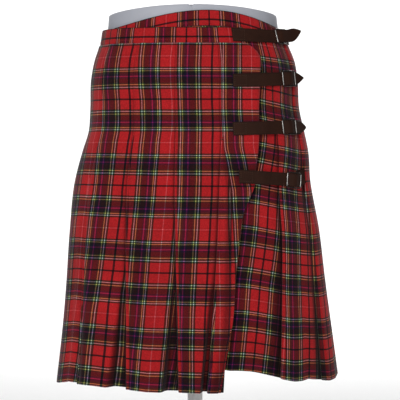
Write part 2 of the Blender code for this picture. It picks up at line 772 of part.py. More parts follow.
def build_stand(surface):
    top = FORM[0][0] - SEAM_GAP
    foot = BASE_HEIGHT + SEAM_GAP
    pole = [
        (COLLAR_RADIUS, foot),
        (COLLAR_RADIUS, foot + 0.6 * COLLAR_HEIGHT),
        (POLE_RADIUS + 3.0, foot + COLLAR_HEIGHT),
        (POLE_RADIUS, foot + COLLAR_HEIGHT + 2.0),
        (POLE_RADIUS, top - COLLAR_HEIGHT - 2.0),
        (POLE_RADIUS + 3.0, top - COLLAR_HEIGHT),
        (COLLAR_RADIUS, top - 0.5 * COLLAR_HEIGHT),
        (COLLAR_RADIUS, top),
    ]
    turned("form_pole", pole, 32, surface)
    base = [
        (BASE_RADIUS - 1.0, 0.0),
        (BASE_RADIUS, 1.0),
        (BASE_RADIUS, BASE_HEIGHT - BASE_BEVEL),
        (BASE_RADIUS - BASE_BEVEL, BASE_HEIGHT),
    ]
    turned("form_base", base, 64, surface)


def main():
    clear_scene()
    tartan = material("tartan_cloth", (0.42, 0.03, 0.035), 0.85)
    leather = material("dark_brown_leather", (0.032, 0.016, 0.011), 0.5)
    silver = material("silver_wire", (0.72, 0.72, 0.74), 0.25, 1.0)
    shell = material("pale_grey_shell", (0.42, 0.44, 0.48), 0.45)
    stand = material("white_painted_steel", (0.82, 0.82, 0.82), 0.4)
    for name in ("under_apron", "back_panel", "front_apron"):
        wall(name, cloth_grid(name), CLOTH, tartan)
    waistband(tartan)
    for strap in STRAPS:
        build_strap(strap, leather)
        build_tab(strap, leather)
        build_buckle(strap, silver)
    build_form(shell)
    build_stand(stand)


main()
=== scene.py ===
import json
import math

import bmesh
import bpy
import numpy as np
from mathutils import Matrix, Vector
from mathutils.bvhtree import BVHTree
from mathutils.kdtree import KDTree

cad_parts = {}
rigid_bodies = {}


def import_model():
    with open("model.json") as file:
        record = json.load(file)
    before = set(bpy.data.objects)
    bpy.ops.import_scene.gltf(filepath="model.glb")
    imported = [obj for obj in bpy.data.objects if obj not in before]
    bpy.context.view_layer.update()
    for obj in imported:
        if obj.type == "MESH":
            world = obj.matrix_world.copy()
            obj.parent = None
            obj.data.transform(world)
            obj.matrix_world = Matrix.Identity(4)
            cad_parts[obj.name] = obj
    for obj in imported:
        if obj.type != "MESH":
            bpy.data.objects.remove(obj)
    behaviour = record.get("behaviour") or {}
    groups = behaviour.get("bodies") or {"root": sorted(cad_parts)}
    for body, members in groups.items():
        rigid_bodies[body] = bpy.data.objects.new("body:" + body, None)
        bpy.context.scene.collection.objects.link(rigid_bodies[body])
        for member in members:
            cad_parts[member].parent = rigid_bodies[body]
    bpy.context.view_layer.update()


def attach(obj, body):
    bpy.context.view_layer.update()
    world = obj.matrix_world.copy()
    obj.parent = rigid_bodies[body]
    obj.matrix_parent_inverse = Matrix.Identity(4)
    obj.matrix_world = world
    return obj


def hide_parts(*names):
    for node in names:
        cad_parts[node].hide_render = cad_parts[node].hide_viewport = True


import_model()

# The stand: a turned steel pole between two collars on a heavy round base, all sprayed white. It is
# screwed up into the hip form, and the whole display rests on the table at height 0.

MM = 0.001


class Nodes:
    """A node tree, a new material's unless one is given, with short calls for the nodes used here."""

    def __init__(self, name, tree=None):
        self.tree = tree
        if tree is None:
            self.material = bpy.data.materials.new(name)
            self.material.use_nodes = True
            self.tree = self.material.node_tree
            self.shader = self.tree.nodes["Principled BSDF"]

    def put(self, socket, value):
        if isinstance(value, bpy.types.NodeSocket):
            self.tree.links.new(value, socket)
        elif hasattr(socket.default_value, "__len__") and len(socket.default_value) == 4 and len(value) == 3:
            socket.default_value = (*value, 1.0)
        else:
            socket.default_value = value

    def add(self, kind, out=0, inputs=(), **settings):
        node = self.tree.nodes.new(kind)
        for key, value in settings.items():
            setattr(node, key, value)
        for key, value in dict(inputs).items():
            self.put(node.inputs[key], value)
        return node.outputs[out]

    def maths(self, operation, first, second=0.0, third=0.0):
        return self.add("ShaderNodeMath", inputs={0: first, 1: second, 2: third}, operation=operation)

    def raised(self, base, value, by):
        """base + value * by."""
        return self.maths("MULTIPLY_ADD", value, by, base)

    def folded(self, value, half):
        """From 0 up to 1 and back again over each repeat, whose half is given in mm."""
        return self.maths("DIVIDE", self.maths("PINGPONG", value, half * MM), half * MM)

    def place(self, scale=(1.0, 1.0, 1.0), turn=(0.0, 0.0, 0.0)):
        where = self.add("ShaderNodeTexCoord", "Object")
        return self.add("ShaderNodeMapping", inputs={"Vector": where, "Scale": scale, "Rotation": turn})

    def noise(self, scale, detail=3.0, rough=0.55, at=None):
        found = {"Vector": at or self.place(), "Scale": scale, "Detail": detail, "Roughness": rough}
        return self.add("ShaderNodeTexNoise", "Fac", found)

    def ramp(self, value, stops, interpolation="LINEAR"):
        node = self.tree.nodes.new("ShaderNodeValToRGB")
        node.color_ramp.interpolation = interpolation
        for spare in list(node.color_ramp.elements)[1:]:
            node.color_ramp.elements.remove(spare)
        for index, (at, colour) in enumerate(stops):
            stop = node.color_ramp.elements[0] if index == 0 else node.color_ramp.elements.new(at)
            stop.position = at
            stop.color = (*colour, 1.0) if hasattr(colour, "__len__") else (colour, colour, colour, 1.0)
        self.put(node.inputs[0], value)
        return node.outputs[0]

    def patches(self, noise, low, high):
        """0 where the noise is below low, 1 where it is above high."""
        return self.ramp(noise, ((low, 0.0), (high, 1.0)))

    def mix(self, share, first, second, blend="MIX"):
        found = {0: share, 6: first, 7: second}
        return self.add("ShaderNodeMix", 2, found, data_type="RGBA", blend_type=blend)

    def bump(self, height, distance, strength=1.0, normal=None):
        found = {"Height": height, "Distance": distance, "Strength": strength}
        if normal:
            found["Normal"] = normal
        return self.add("ShaderNodeBump", inputs=found)

    def finish(self, **values):
        for key, value in values.items():
            self.put(self.shader.inputs[key.replace("_", " ")], value)
        return self.material


def linked(name, data):
    thing = bpy.data.objects.new(name, data)
    bpy.context.scene.collection.objects.link(thing)
    return thing


def as_mesh(name, built):
    """A plain mesh from the bmesh that a shape was built in."""
    made = bpy.data.meshes.new(name)
    built.to_mesh(made)
    built.free()
    made.shade_smooth()
    return made


def join_rings(built, rings):
    """Quads between neighbouring rings of points."""
    for lower, upper in zip(rings, rings[1:]):
        for side in range(len(lower)):
            other = (side + 1) % len(lower)
            built.faces.new((lower[side], lower[other], upper[other], upper[side]))


def add_piece(name, mesh, finish, slot, *nodes):
    """Links a finished mesh at the origin, gives it its finish unless it has one, and hides the CAD nodes it stands
    for.
    """
    piece = linked(name, mesh)
    if not mesh.materials:
        mesh.materials.append(finish)
    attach(piece, "root")
    if nodes:
        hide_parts(*nodes)
    return piece


def turned_mesh(name, profile, sides):
    """A lathe-turned solid from (radius, height) pairs in mm, from the foot up, closed at both ends."""
    mesh = bmesh.new()
    turns = [2.0 * math.pi * side / sides for side in range(sides)]
    loops = [
        [mesh.verts.new((r * MM * math.cos(t), r * MM * math.sin(t), z * MM)) for t in turns]
        for r, z in profile
    ]
    join_rings(mesh, loops)
    mesh.faces.new(loops[0][::-1])
    mesh.faces.new(loops[-1])
    made = as_mesh(name, mesh)
    made.set_sharp_from_angle(angle=math.radians(50.0))
    return made


def eased(points, radius=1.2):
    """The same profile with each corner cut by three short steps, as sprayed and tumbled edges are."""
    out = [points[0]]
    for before, at, after in zip(points, points[1:], points[2:]):
        at, before, after = np.array(at), np.array(before), np.array(after)
        back, on = before - at, after - at
        reach = min(radius, 0.4 * np.hypot(*back), 0.4 * np.hypot(*on))
        first, last = at + back / np.hypot(*back) * reach, at + on / np.hypot(*on) * reach
        for share in (0.0, 0.33, 0.67, 1.0):
            out.append(tuple((1 - share) ** 2 * first + 2 * share * (1 - share) * at + share ** 2 * last))
    return out + [points[-1]]


paint = Nodes("white_stand_paint")
peel = paint.noise(900.0, 2.0)
scuffs = paint.patches(paint.noise(38.0, 6.0, 0.7), 0.62, 0.72)
paint_tone = paint.mix(paint.noise(9.0), (0.78, 0.78, 0.775), (0.84, 0.84, 0.835))
paint_tone = paint.mix(paint.maths("MULTIPLY", scuffs, 0.25), paint_tone, (0.62, 0.61, 0.6))
white_paint = paint.finish(
    Base_Color=paint_tone,
    Roughness=paint.raised(0.36, scuffs, 0.2),
    Normal=paint.bump(peel, 0.00008),
)

# Radius and height of each turned edge, mm
POLE = ((30, 14.3), (30, 22.7), (15.5, 28.3), (12.5, 30.3), (12.5, 449.7), (15.5, 451.7), (30, 458.7), (30, 465.7))
BASE = ((149, 0), (150, 1), (150, 10), (146, 14), (60, 14), (20, 14))
for part, profile, sides in (("pole", POLE, 64), ("base", BASE, 96)):
    turned = turned_mesh("stand_" + part, eased(profile), sides)
    add_piece("stand_" + part, turned, white_paint, "white_painted_steel", "form_" + part)

# The hip form: a limbless shell of pale grey plastic, moulded in one piece, smooth, with a closed top
# and a small nick in the front of its rim. It carries the garment and is seen only above the waistband.

# Height, half widths towards -X and +X, depths of the front and the back, mm
FORM = (
    (466, 44, 44, 34, 36),
    (474, 88, 90, 66, 66),
    (505, 127, 129, 95, 94),
    (550, 149, 151, 110, 112),
    (600, 161, 162, 116.5, 124),
    (650, 164, 164, 117.5, 127),
    (700, 160.5, 160, 114, 119),
    (730, 155, 153.5, 111.6, 110),
    (755, 149, 146.5, 109.9, 104),
    (780, 145.5, 139.5, 108.2, 99.5),
    (800, 144, 137, 107, 97.5),
    (817.5, 143, 135.5, 105.5, 96),
)
FRONT_SQUARE, BACK_SQUARE = 2.5, 2.2
FORM_FOOT, FORM_TOP, CROWN_RISE = 466.0, 817.5, 3.0
RIM_DIP, RIM_DIP_FROM = 12.5, 755.0
NICK_ANGLE, NICK_HALF, NICK_DEPTH = -2.4, 1.9, 3.3


def share_of(at, start, end):
    """How far a value has gone from start to end, 0 to 1."""
    return np.clip((at - start) / (end - start), 0.0, 1.0)


def smooth_table(table, column, at):
    """A column of a table at the heights asked for, by a cubic through its rows."""
    rows = np.array([[row[0], row[column]] for row in table], dtype=float)
    known, values = rows[:, 0], rows[:, 1]
    slopes = np.gradient(values, known)
    at = np.clip(np.asarray(at, dtype=float), known[0], known[-1])
    cell = np.clip(np.searchsorted(known, at) - 1, 0, len(known) - 2)
    width = known[cell + 1] - known[cell]
    share = (at - known[cell]) / width
    back = 1.0 - share
    return (
        values[cell] * back * back * (1.0 + 2.0 * share)
        + values[cell + 1] * share * share * (3.0 - 2.0 * share)
        + slopes[cell] * width * share * back * back
        - slopes[cell + 1] * width * share * share * back
    )


def ring_points(table, angles, height):
    """Points of a body's section at one height. 0 degrees is the front's middle, and +X is positive."""
    left, right, front, back = (smooth_table(table, column, height) for column in (1, 2, 3, 4))
    sine, cosine = np.sin(np.radians(angles)), np.cos(np.radians(angles))
    half_width = np.where(sine > 0.0, right, left)
    depth = np.where(cosine > 0.0, front, back)
    square = np.where(cosine > 0.0, FRONT_SQUARE, BACK_SQUARE)
    inside = np.maximum(1.0 - np.abs(sine) ** square, 0.0)
    return np.column_stack([half_width * sine, -np.sign(cosine) * depth * inside ** (1.0 / square)])


def grid_faces(rows, columns, around=False):
    """Quads of a grid of points: rows run down, columns anticlockwise from above, faces outwards."""
    a = np.arange(rows - 1)[:, None] * columns + np.arange(columns if around else columns - 1)
    b = np.arange(rows - 1)[:, None] * columns + (np.arange(columns if around else columns - 1) + 1) % columns
    return np.stack([a, a + columns, b + columns, b], -1).reshape(-1, 4)


def mesh_of(name, points, faces):
    """A smooth mesh from points in mm and faces."""
    made = bpy.data.meshes.new(name)
    made.from_pydata((np.asarray(points) * MM).tolist(), [], faces)
    made.shade_smooth()
    return made


form_turns = np.sort(np.concatenate([
    np.arange(-180.0, 180.0, 2.0),
    NICK_ANGLE + NICK_HALF * np.array([-1.0, -0.5, 0.0, 0.5, 1.0]),
]))
sideways = np.sin(np.radians(form_turns)) ** 2
nick = NICK_DEPTH * np.clip(1.0 - np.abs(form_turns - NICK_ANGLE) / NICK_HALF, 0.0, 1.0)
form_rings = []
for level in (466.0, 469.0, 474.0, 481.0, 491.0, *np.linspace(505.0, FORM_TOP, 60)):
    dip = RIM_DIP * share_of(level, RIM_DIP_FROM, FORM_TOP) * sideways
    form_rings.append(np.column_stack([ring_points(FORM, form_turns, level), level - dip]))
rim = form_rings.pop()
# The rim's rounding: how far in, how far down, and how much of the nick is cut
for inset, drop, cut in (
    (1.0, 1.9, 1.0), (0.9985, 0.9, 1.0), (0.994, 0.25, 1.0), (0.988, 0.0, 1.0), (0.975, 0.05, 0.5), (0.94, 0.4, 0.0),
):
    form_rings.append(np.column_stack([rim[:, :2] * inset, rim[:, 2] - drop - nick * cut]))
crown = FORM_TOP + CROWN_RISE - 0.5 * RIM_DIP
lip = form_rings[-1]
for share in (0.2, 0.45, 0.7, 0.9):
    lift = share * (2.0 - share)
    form_rings.append(np.column_stack([lip[:, :2] * (1.0 - share), lip[:, 2] * (1.0 - lift) + crown * lift]))
count, around = len(form_rings), len(form_turns)
points = np.vstack([*form_rings[::-1], [[0.0, 0.0, crown], [0.0, 0.0, FORM_FOOT]]])
faces = grid_faces(count, around, around=True).tolist()
for side in range(around):
    other = (side + 1) % around
    faces.append((side, other, count * around))
    faces.append(((count - 1) * around + other, (count - 1) * around + side, count * around + 1))
form_mesh = mesh_of("hip_form_shell", points, faces)

shell = Nodes("pale_grey_form_shell")
marks = shell.patches(shell.noise(26.0, 7.0, 0.72), 0.6, 0.75)
tone = shell.mix(shell.noise(7.0, 4.0), (0.385, 0.4, 0.455), (0.455, 0.465, 0.515))
shell_grey = shell.finish(
    Base_Color=shell.mix(shell.maths("MULTIPLY", marks, 0.12), tone, (0.3, 0.3, 0.33)),
    Roughness=shell.raised(0.42, shell.noise(60.0, 3.0), 0.16),
    Normal=shell.bump(shell.noise(520.0, 2.0), 0.00006),
)
add_piece("hip_form_shell", form_mesh, shell_grey, "pale_grey_shell", "hip_form")

# The pleated skirt: a strip of woollen tartan, three lengths joined in the depth of a pleat at each side. It
# wraps the hips one and a quarter times, from its hidden end in front to the plain edge of the outer apron,
# and is pressed into knife pleats that are sewn flat down to the hips and hang free below.

OUTLINE = (
    (200, 223, 236, 141, 168),
    (280, 215.5, 226.5, 134.5, 161),
    (364, 209.5, 216, 130.5, 154),
    (449, 204.5, 206, 128, 148),
    (535, 196, 191, 127.5, 142),
    (583, 184, 187.5, 128, 139),
    (612, 175.5, 181.5, 128, 138),
    (650, 172.5, 173, 126.5, 136),
    (700, 171, 170, 123.5, 128),
    (730, 165.5, 165, 120, 118),
    (755, 157.5, 155, 117, 110),
    (780, 153.5, 145, 113.5, 104.5),
    (810, 150, 139, 111, 101),
)
BAND_TOP, BAND_SEAM, HEM = 780.0, 755.0, 200.0
CLOTH = 1.0
# The wrap's hidden end, and between which angles it goes below the outer apron
UNDER_END, UNDER_FROM, UNDER_TO = -420.0, -272.0, -314.0

# Each knife pleat: the angle of its fold edge at the waist, the hips, the middle and the hem, how far the
# cloth is tucked under at the hem, how far its face swells, and where its face bends back near the hem
PLEAT_HEIGHTS = (755.0, 612.0, 400.0, 200.0)
PLEATS = (
    ("under_1", -310, -311, -316.3, -322.6, 26, 2, 0),
    ("under_2", -289, -289.5, -292.5, -295.7, 30, 1.5, 0),
    ("seam_right", -265.3, -265, -264, -263.5, 26, 2.5, 0.62),
    ("back_6", -239.6, -239.6, -240.5, -241.5, 28, 3, 0),
    ("back_5", -213.9, -213.9, -214.5, -215, 26, 2.5, 0.58),
    ("back_4", -188.3, -188.3, -188, -188.5, 29, 3.2, 0.66),
    ("back_3", -162.6, -162.6, -162, -161, 27, 2.6, 0),
    ("back_2", -136.9, -136.9, -136, -135.5, 28, 3, 0.60),
    ("back_1", -111.2, -111.2, -110.5, -109, 26, 2.4, 0),
    ("seam_left", -86, -86, -85.5, -84, 26, 2, 0),
    ("front_4", -61, -60.4, -60, -57.3, 27, 2.2, 0.50),
    ("front_3", -35, -33.8, -32, -29.3, 32, 2.4, 0.53),
    ("front_2", -10.6, -9.9, -8.3, -6.6, 28, 2, 0.50),
    ("front_1", 14, 13.5, 9.3, 4.8, 26, 0.8, 0),
)
CLOTHS = ("under_apron", "back_panel", "front_apron")
SEAMS = {"seam_right": "back_panel", "seam_left": "front_apron"}
SEAM_CUT = 0.9
# Below which height a face bends back, how far its crease drifts across it, and how many points past its fold
# edge the crease comes
CREASE_FROM, CREASE_DRIFT, TO_CREASE = 390.0, 0.22, 16

# Height, half the step at a fold, tuck as a share of the hem's, inward shift of the under apron, and lift
# of a tucked hem, mm
ROWS = (
    (754.6, 1.35, 0.10, 3.3, 0),
    (747, 1.35, 0.10, 3.5, 0),
    (736, 1.35, 0.10, 3.8, 0),
    (705, 1.35, 0.10, 4.4, 0),
    (660, 1.35, 0.10, 5, 0),
    (614, 1.40, 0.11, 5.6, 0),
    (590, 2.00, 0.20, 6.2, 0),
    (560, 2.60, 0.32, 7, 0),
    (524, 3.20, 0.45, 7.8, 0),
    (488, 3.60, 0.56, 8.6, 0),
    (440, 4.10, 0.68, 9.4, 0),
    (370, 4.70, 0.80, 10.4, 0),
    (330, 5.30, 0.86, 11.2, 0.2),
    (290, 6.10, 0.91, 12.2, 0.4),
    (240, 7.20, 0.96, 13.2, 0.8),
    (200, 8.00, 1.00, 14, 1.2),
)

# How far the hem is lifted at each angle of the wrap, mm
HEM_WAVE = (
    (-360, 0), (-346, -6), (-336, -1.5), (-327, 0), (-315, 2.5), (-305, 10),
    (-290, 5.5), (-280, 10), (-266, 5), (-235, 0), (-200, 2.5), (-165, -1.5),
    (-125, 2), (-87, -2.5), (-78, -1), (-68, 4.5), (-45, 4), (-30, 1),
    (-20, -2.5), (-6.6, -3), (5, -4.5), (12, -5),
)

# The outer apron's free edge: height and angle. Its top corner is round and sags
FREE_EDGE = (
    (200, 10), (231, 11.6), (277, 13.8), (310, 15.8), (362, 17.4), (418, 19.3),
    (455, 21.2), (488, 23.8), (512, 28), (524, 30), (562, 31.8), (631, 35.6),
    (702, 38.3), (736, 39.4), (747, 36.6), (755, 31.6),
)

# The pinch in the outer apron beside its free edge: height and distance from the middle, mm, and how far it
# has opened
PINCH = (
    (200, 36, 1), (271, 53, 1), (330, 55.5, 1), (440, 57, 1), (519, 57.6, 1),
    (551, 52.8, 0.85), (576.6, 48, 0.45), (599, 43, 0.1), (612, 42.5, 0), (756, 44, 0),
)

# The wrap rises in front where its under end passes below the outer apron
RISE, RISE_HEM, RISE_MIDDLE, RISE_TURN, RISE_TURN_HEM = 28.0, 34.0, 8.0, 1.15, 1.75

# Soft troughs and ridges pressed into the faces: angle at the top and at the hem, the heights
# between which it shows, its depth (a ridge is positive) and its half width, mm
TROUGHS = (
    (-51, -46, 520, 240, -2, 9), (-22, -21.5, 560, 330, -1.6, 8),
    (-17, -14, 330, 190, 1.8, 7), (2, -1, 560, 260, -1.8, 10),
    (-40, -36.5, 420, 190, 2, 7), (-72, -70, 480, 190, -2.4, 9),
    (-97, -95, 560, 260, -2.2, 11), (-124, -121, 430, 190, -2.8, 9),
    (-130, -127, 590, 380, 1.6, 8), (-150, -147, 600, 250, -2.6, 12),
    (-175, -172, 470, 190, 2.4, 9), (-199, -203, 540, 230, -2.6, 10),
    (-226, -228, 600, 300, -2.2, 12), (-234, -235, 360, 190, 2.2, 7),
    (-252, -251, 500, 190, -2.6, 11), (-277, -276, 560, 280, -2, 9),
    (-282, -285, 380, 190, 2, 7), (-300, -306, 520, 200, -2.4, 10),
    (-326, -333, 420, 180, -2.2, 8), (-333, -343, 480, 300, 1.6, 7),
)


class Section:
    """The body's outline at one height, measured along the cloth from its hidden end."""

    def __init__(self, height):
        self.angles = np.arange(UNDER_END - 6.0, 96.0, 0.25)
        self.points = ring_points(OUTLINE, self.angles, height)
        steps = np.hypot(*np.diff(self.points, axis=0).T)
        self.lengths = np.concatenate([[0.0], np.cumsum(steps)])
        along = np.gradient(self.points, self.lengths, axis=0)
        along /= np.hypot(*along.T)[:, None]
        self.outward = np.column_stack([along[:, 1], -along[:, 0]])

    def length_at(self, angle):
        return np.interp(angle, self.angles, self.lengths)

    def angle_at(self, length):
        return np.interp(length, self.lengths, self.angles)

    def out(self, lengths):
        found = np.column_stack([np.interp(lengths, self.lengths, self.outward[:, axis]) for axis in (0, 1)])
        return found / np.hypot(*found.T)[:, None]

    def length_in_front(self, across):
        """Where the front of the outline passes a distance from the middle."""
        front = np.abs(self.angles) < 80.0
        return float(np.interp(across, self.points[front, 0], self.lengths[front]))


def rise_at(angle, share):
    """How far the under end of the wrap is lifted, from the waist (share 0) to the hem (share 1)."""
    turned = (np.asarray(angle) + 180.0) % 360.0 - 180.0
    turn = RISE_TURN + (RISE_TURN_HEM - RISE_TURN) * share
    away = np.clip(turn * (turned - RISE_MIDDLE), -90.0, 90.0)
    lift = (RISE + (RISE_HEM - RISE) * share) * np.cos(np.radians(away)) ** 2
    return np.where(np.asarray(angle) < -180.0, lift, 0.0)


def under_share(angle):
    """0 where the wrap is the outer layer, 1 where it lies below the outer apron."""
    share = share_of(np.asarray(angle), UNDER_FROM, UNDER_TO)
    return share * share * (3.0 - 2.0 * share)


def hem_wave(angle, share):
    return np.interp(angle, *zip(*HEM_WAVE)) * share ** 2


def half_round(centre, radius, side, low):
    """Seven points round a fold: side 1 bulges forwards along the cloth, and low -1 starts at its bottom."""
    turns = np.radians(np.linspace(-90.0, 90.0, 7)) * -low
    return [(centre[0] + side * radius * math.cos(t), centre[1] + radius * math.sin(t)) for t in turns]


def face_shares(crease):
    if not crease:
        return np.linspace(0.03, 0.97, 19)
    return np.concatenate([
        np.linspace(0.03, crease - 0.07, 8),
        crease + np.array([-0.05, -0.034, -0.017, 0.0, 0.017, 0.034, 0.05]),
        np.linspace(crease + 0.075, 0.97, 7),
    ])


def face_run(begin, end, swell, crease, height):
    """Points on a pleat's face between two folds. A creased face bends back towards the hem."""
    fallen = share_of(height, CREASE_FROM, HEM)
    if crease:
        crease += CREASE_DRIFT * (1.0 - fallen)
    run = []
    for share in face_shares(crease):
        length = begin[0] + (end[0] - begin[0]) * share
        lie = begin[1] + (end[1] - begin[1]) * share + swell * math.sin(math.pi * share)
        if crease:
            past = share_of(share, crease - 0.05, crease + 0.05)
            past = past * past * (3.0 - 2.0 * past)
            level = (begin[1] + swell * math.sin(math.pi * min(share, crease))) * (1.0 - past) + end[1] * past
            lie += (level - lie) * fallen
        run.append((length, lie))
    return run


def falling(heights, values, at):
    """Straight lines between values that are listed from the top down."""
    return float(np.interp(at, heights[::-1], values[::-1]))


def row_at(height):
    known, *columns = zip(*ROWS)
    return [falling(known, column, height) for column in columns]


def fold_angle(pleat, height):
    return falling(PLEAT_HEIGHTS, pleat[1:5], height)


def cloth_row(height):
    """Points (length, offset) of the three cloths at one height, with the place of each fold among them."""
    section = Section(height)
    step, tuck_share, _, _ = row_at(height)
    hem_share = share_of(height, BAND_SEAM, HEM)
    bend = 0.5 * step
    folds = []
    for pleat in PLEATS:
        start = float(section.length_at(fold_angle(pleat, height)))
        folds.append((start, max(pleat[5] * tuck_share, 2.0 * bend + 0.2)))
    runs, marks = ({cloth: [] for cloth in CLOTHS} for _ in range(2))
    name = "under_apron"
    begin = (float(section.length_at(UNDER_END)), 0.0)
    first = (folds[0][0] + folds[0][1] - bend, -step)
    runs[name] += [begin] + [
        (begin[0] + (first[0] - begin[0]) * share, begin[1] + (first[1] - begin[1]) * share)
        for share in np.linspace(0.02, 0.98, 44)
    ]
    for index, pleat in enumerate(PLEATS):
        start, tuck = folds[index]
        low = (start + tuck - bend, -step)
        if pleat[0] in SEAMS:
            runs[name].append((low[0] - SEAM_CUT - 0.3, low[1]))
            name = SEAMS[pleat[0]]
            runs[name].append((low[0] - SEAM_CUT, low[1]))
        inner = len(runs[name])
        runs[name] += half_round((low[0], -bend), bend, 1.0, 1.0)
        runs[name] += half_round((start + bend, bend), bend, -1.0, 1.0)
        marks[name].append((index, inner, len(runs[name]) - 4))
        face_begin = (start + bend, step)
        if index + 1 < len(PLEATS):
            following, deep = folds[index + 1]
            face_end = (following + deep - bend, -step)
            runs[name] += face_run(face_begin, face_end, pleat[6] * hem_share, pleat[7], height)
    free = float(section.length_at(smooth_table(FREE_EDGE, 1, height)))
    pinch_heights, places, openings = zip(*PINCH)
    across, opened = (float(np.interp(height, pinch_heights, column)) for column in (places, openings))
    pinch = max(section.length_in_front(across), folds[-1][0] + bend + 2.5)
    pinch = min(pinch, free - 2.5)
    top = (folds[-1][0] + bend, step)
    fall = 0.3 * step
    level = top[1] * 0.75
    for share in np.linspace(0.08, 0.92, 9):
        runs[name].append((top[0] + (pinch - top[0]) * share, top[1] + (level - top[1]) * share))
    turn_in = 0.1 + 0.75 * opened
    deep = 0.3 + 3.6 * opened
    runs[name] += half_round((pinch - 0.2, level - turn_in), turn_in, 1.0, -1.0)
    marks[name].append((-1, len(runs[name]) - 4, len(runs[name]) + 3))
    runs[name] += half_round((pinch - deep, level - 3.0 * turn_in), turn_in, -1.0, -1.0)
    low = level - 4.0 * turn_in
    ease = 2.6 * opened * share_of(height, 240.0, 360.0)
    for share in np.linspace(0.08, 1.0, 12):
        lie = low * (1.0 - share) + (fall - ease * share) * share if opened < 0.05 else low - ease * share ** 2
        runs[name].append((pinch + (free - pinch) * share, lie))
    return section, runs, marks


DEGREE = 3.2  # mm round the wrap


def soft_troughs(angles, height):
    """The listed troughs at one height, as offsets."""
    offset = np.zeros(len(angles))
    for top, low, above, below, depth, width in TROUGHS:
        centre = low + (top - low) * share_of(height, HEM, BAND_SEAM)
        shown = share_of(height, above, above - 110.0) * share_of(height, below - 60.0, below)
        distance = (angles - centre) * DEGREE / width
        offset += depth * shown * np.exp(-distance * distance)
    return offset


# The cloth's own measure along the strip, mm past a black line, at each fold edge. Where the pleats are sewn
# down the stripes run on unbroken, because every pleat hides one whole repeat. Lower down the pleats open
# unevenly, so each has its own drift from that, given from the fourth height down where it starts at 0. The
# last rows are for the apron's pinch and the hidden end
MEASURE_HEIGHTS = (755.0, 612.0, 602.0, 598.0, 560.0, 513.0, 463.0, 403.0, 343.0, 263.0, 200.0)
MEASURE_DRIFT = {
    "under_1": (0, 3, 7, 7.5, 7, 6, 2, 0),
    "under_2": (0, -2, -5, -8, -10, -12, -13.5, -14),
    "seam_right": (0, 1, 2, 3.5, 5, 7, 10, 12),
    "back_6": (0, 2, 4, 6, 8, 10, 12, 14),
    "back_5": (0, 0, 1, 2, 4, 6, 9, 12),
    "back_4": (0, 1, 3, 5, 8, 11, 14, 15),
    "back_3": (0, 2, 4, 5, 6, 8, 10, 12),
    "back_2": (0, 0, 2, 4, 7, 10, 13, 16),
    "back_1": (0, 1, 3, 6, 9, 12, 14, 15),
    "front_1": (-1.1, -1.1, -1.1, -79, -80, -80.5, -83, -88.5, -94, -101, -107),
    "pinch": (16, 15.6, 15.2, 14.8, 11, 8.6, 5.5, 1.5, -1, -3, -3),
    "hidden_end": (-4, 4, 6, 7, 16, 26, 36, 45.5, 55, 61, 67),
}
# On the front faces, height, measure at the fold and how far the face is drawn in
FRONT_MEASURES = {
    "seam_left": (
        (755, -236, 0.8), (663, -236, 0.8), (599, -233.5, 0.77), (583, -241, 0.83), (530, -251.5, 0.89),
        (497, -251.5, 0.89), (462, -244.6, 0.82), (424, -241.5, 0.78), (373, -240.8, 0.78), (324, -241, 0.81),
        (295, -246, 0.95), (255, -249, 0.97), (200, -248, 0.97),
    ),
    "front_4": (
        (755, -172, 0.845), (727, -173.5, 0.845), (663, -177.9, 0.841), (599, -179.2, 0.815), (583, -182.4, 0.836),
        (534, -191.2, 0.905), (515, -191.6, 0.9), (497, -189.4, 0.855), (462, -186.9, 0.852), (424, -185.4, 0.858),
        (395, -182.1, 0.829), (354, -177.6, 0.813), (324, -173.6, 0.765), (285, -169.8, 0.7), (255, -168.5, 0.67),
        (200, -168, 0.66),
    ),
    "front_3": (
        (755, -118, 0.947), (727, -119.6, 0.947), (663, -123.9, 0.947), (599, -126.5, 0.985), (583, -127.4, 0.97),
        (534, -130.2, 0.985), (515, -130.1, 0.985), (497, -129.4, 0.987), (462, -126.6, 0.982), (424, -124.3, 0.988),
        (395, -122, 0.981), (354, -119.4, 1), (324, -117.2, 1), (285, -114.8, 1), (255, -112.7, 1),
        (200, -110.5, 1),
    ),
    "front_2": (
        (755, -50.6, 0.87), (727, -51, 0.871), (663, -52, 0.887), (583, -53.6, 0.889), (534, -54.5, 0.878),
        (515, -54.3, 0.879), (462, -52, 0.882), (424, -49.6, 0.88), (373, -47.4, 0.89), (324, -46.4, 0.93),
        (285, -46, 0.935), (255, -47.2, 0.965), (200, -47.8, 0.965),
    ),
}
# Measures at the hips that don't follow from a fold edge's place
MEASURE_BASE = {"under_1": -62.0, "under_2": -11.4, "pinch": 0.0, "hidden_end": 0.0}
# How far the measure jumps at a face's crease, and below which height
CREASE_SKIP = {"front_3": (57.0, 362.0)}
# Where the black line of measure 0 passes the front of the hips, how far the back's measures are shifted, and
# the height of the hips
BLACK_AT, BACK_SHIFT, HIPS = 25.7, 34.5, 665.0
# Down to which height the pleats are sewn flat, and below which they are wholly slack
SEWN_TO, SLACK_FROM = 612.0, 560.0
hips = Section(HIPS)
black_length = hips.length_in_front(BLACK_AT)


def hip_measure(name):
    """The measure of a fold edge where the pleats are sewn flat."""
    if name in MEASURE_BASE:
        return MEASURE_BASE[name]
    number = [pleat[0] for pleat in PLEATS].index(name)
    pleat = PLEATS[number]
    shift = BACK_SHIFT * max(0.0, 1.0 - (number - 2) / 7.0)
    return float(hips.length_at(fold_angle(pleat, HIPS))) - black_length + shift


def measure_at(name, height):
    drift = MEASURE_DRIFT[name]
    return hip_measure(name) + falling(MEASURE_HEIGHTS[-len(drift):], drift, height)


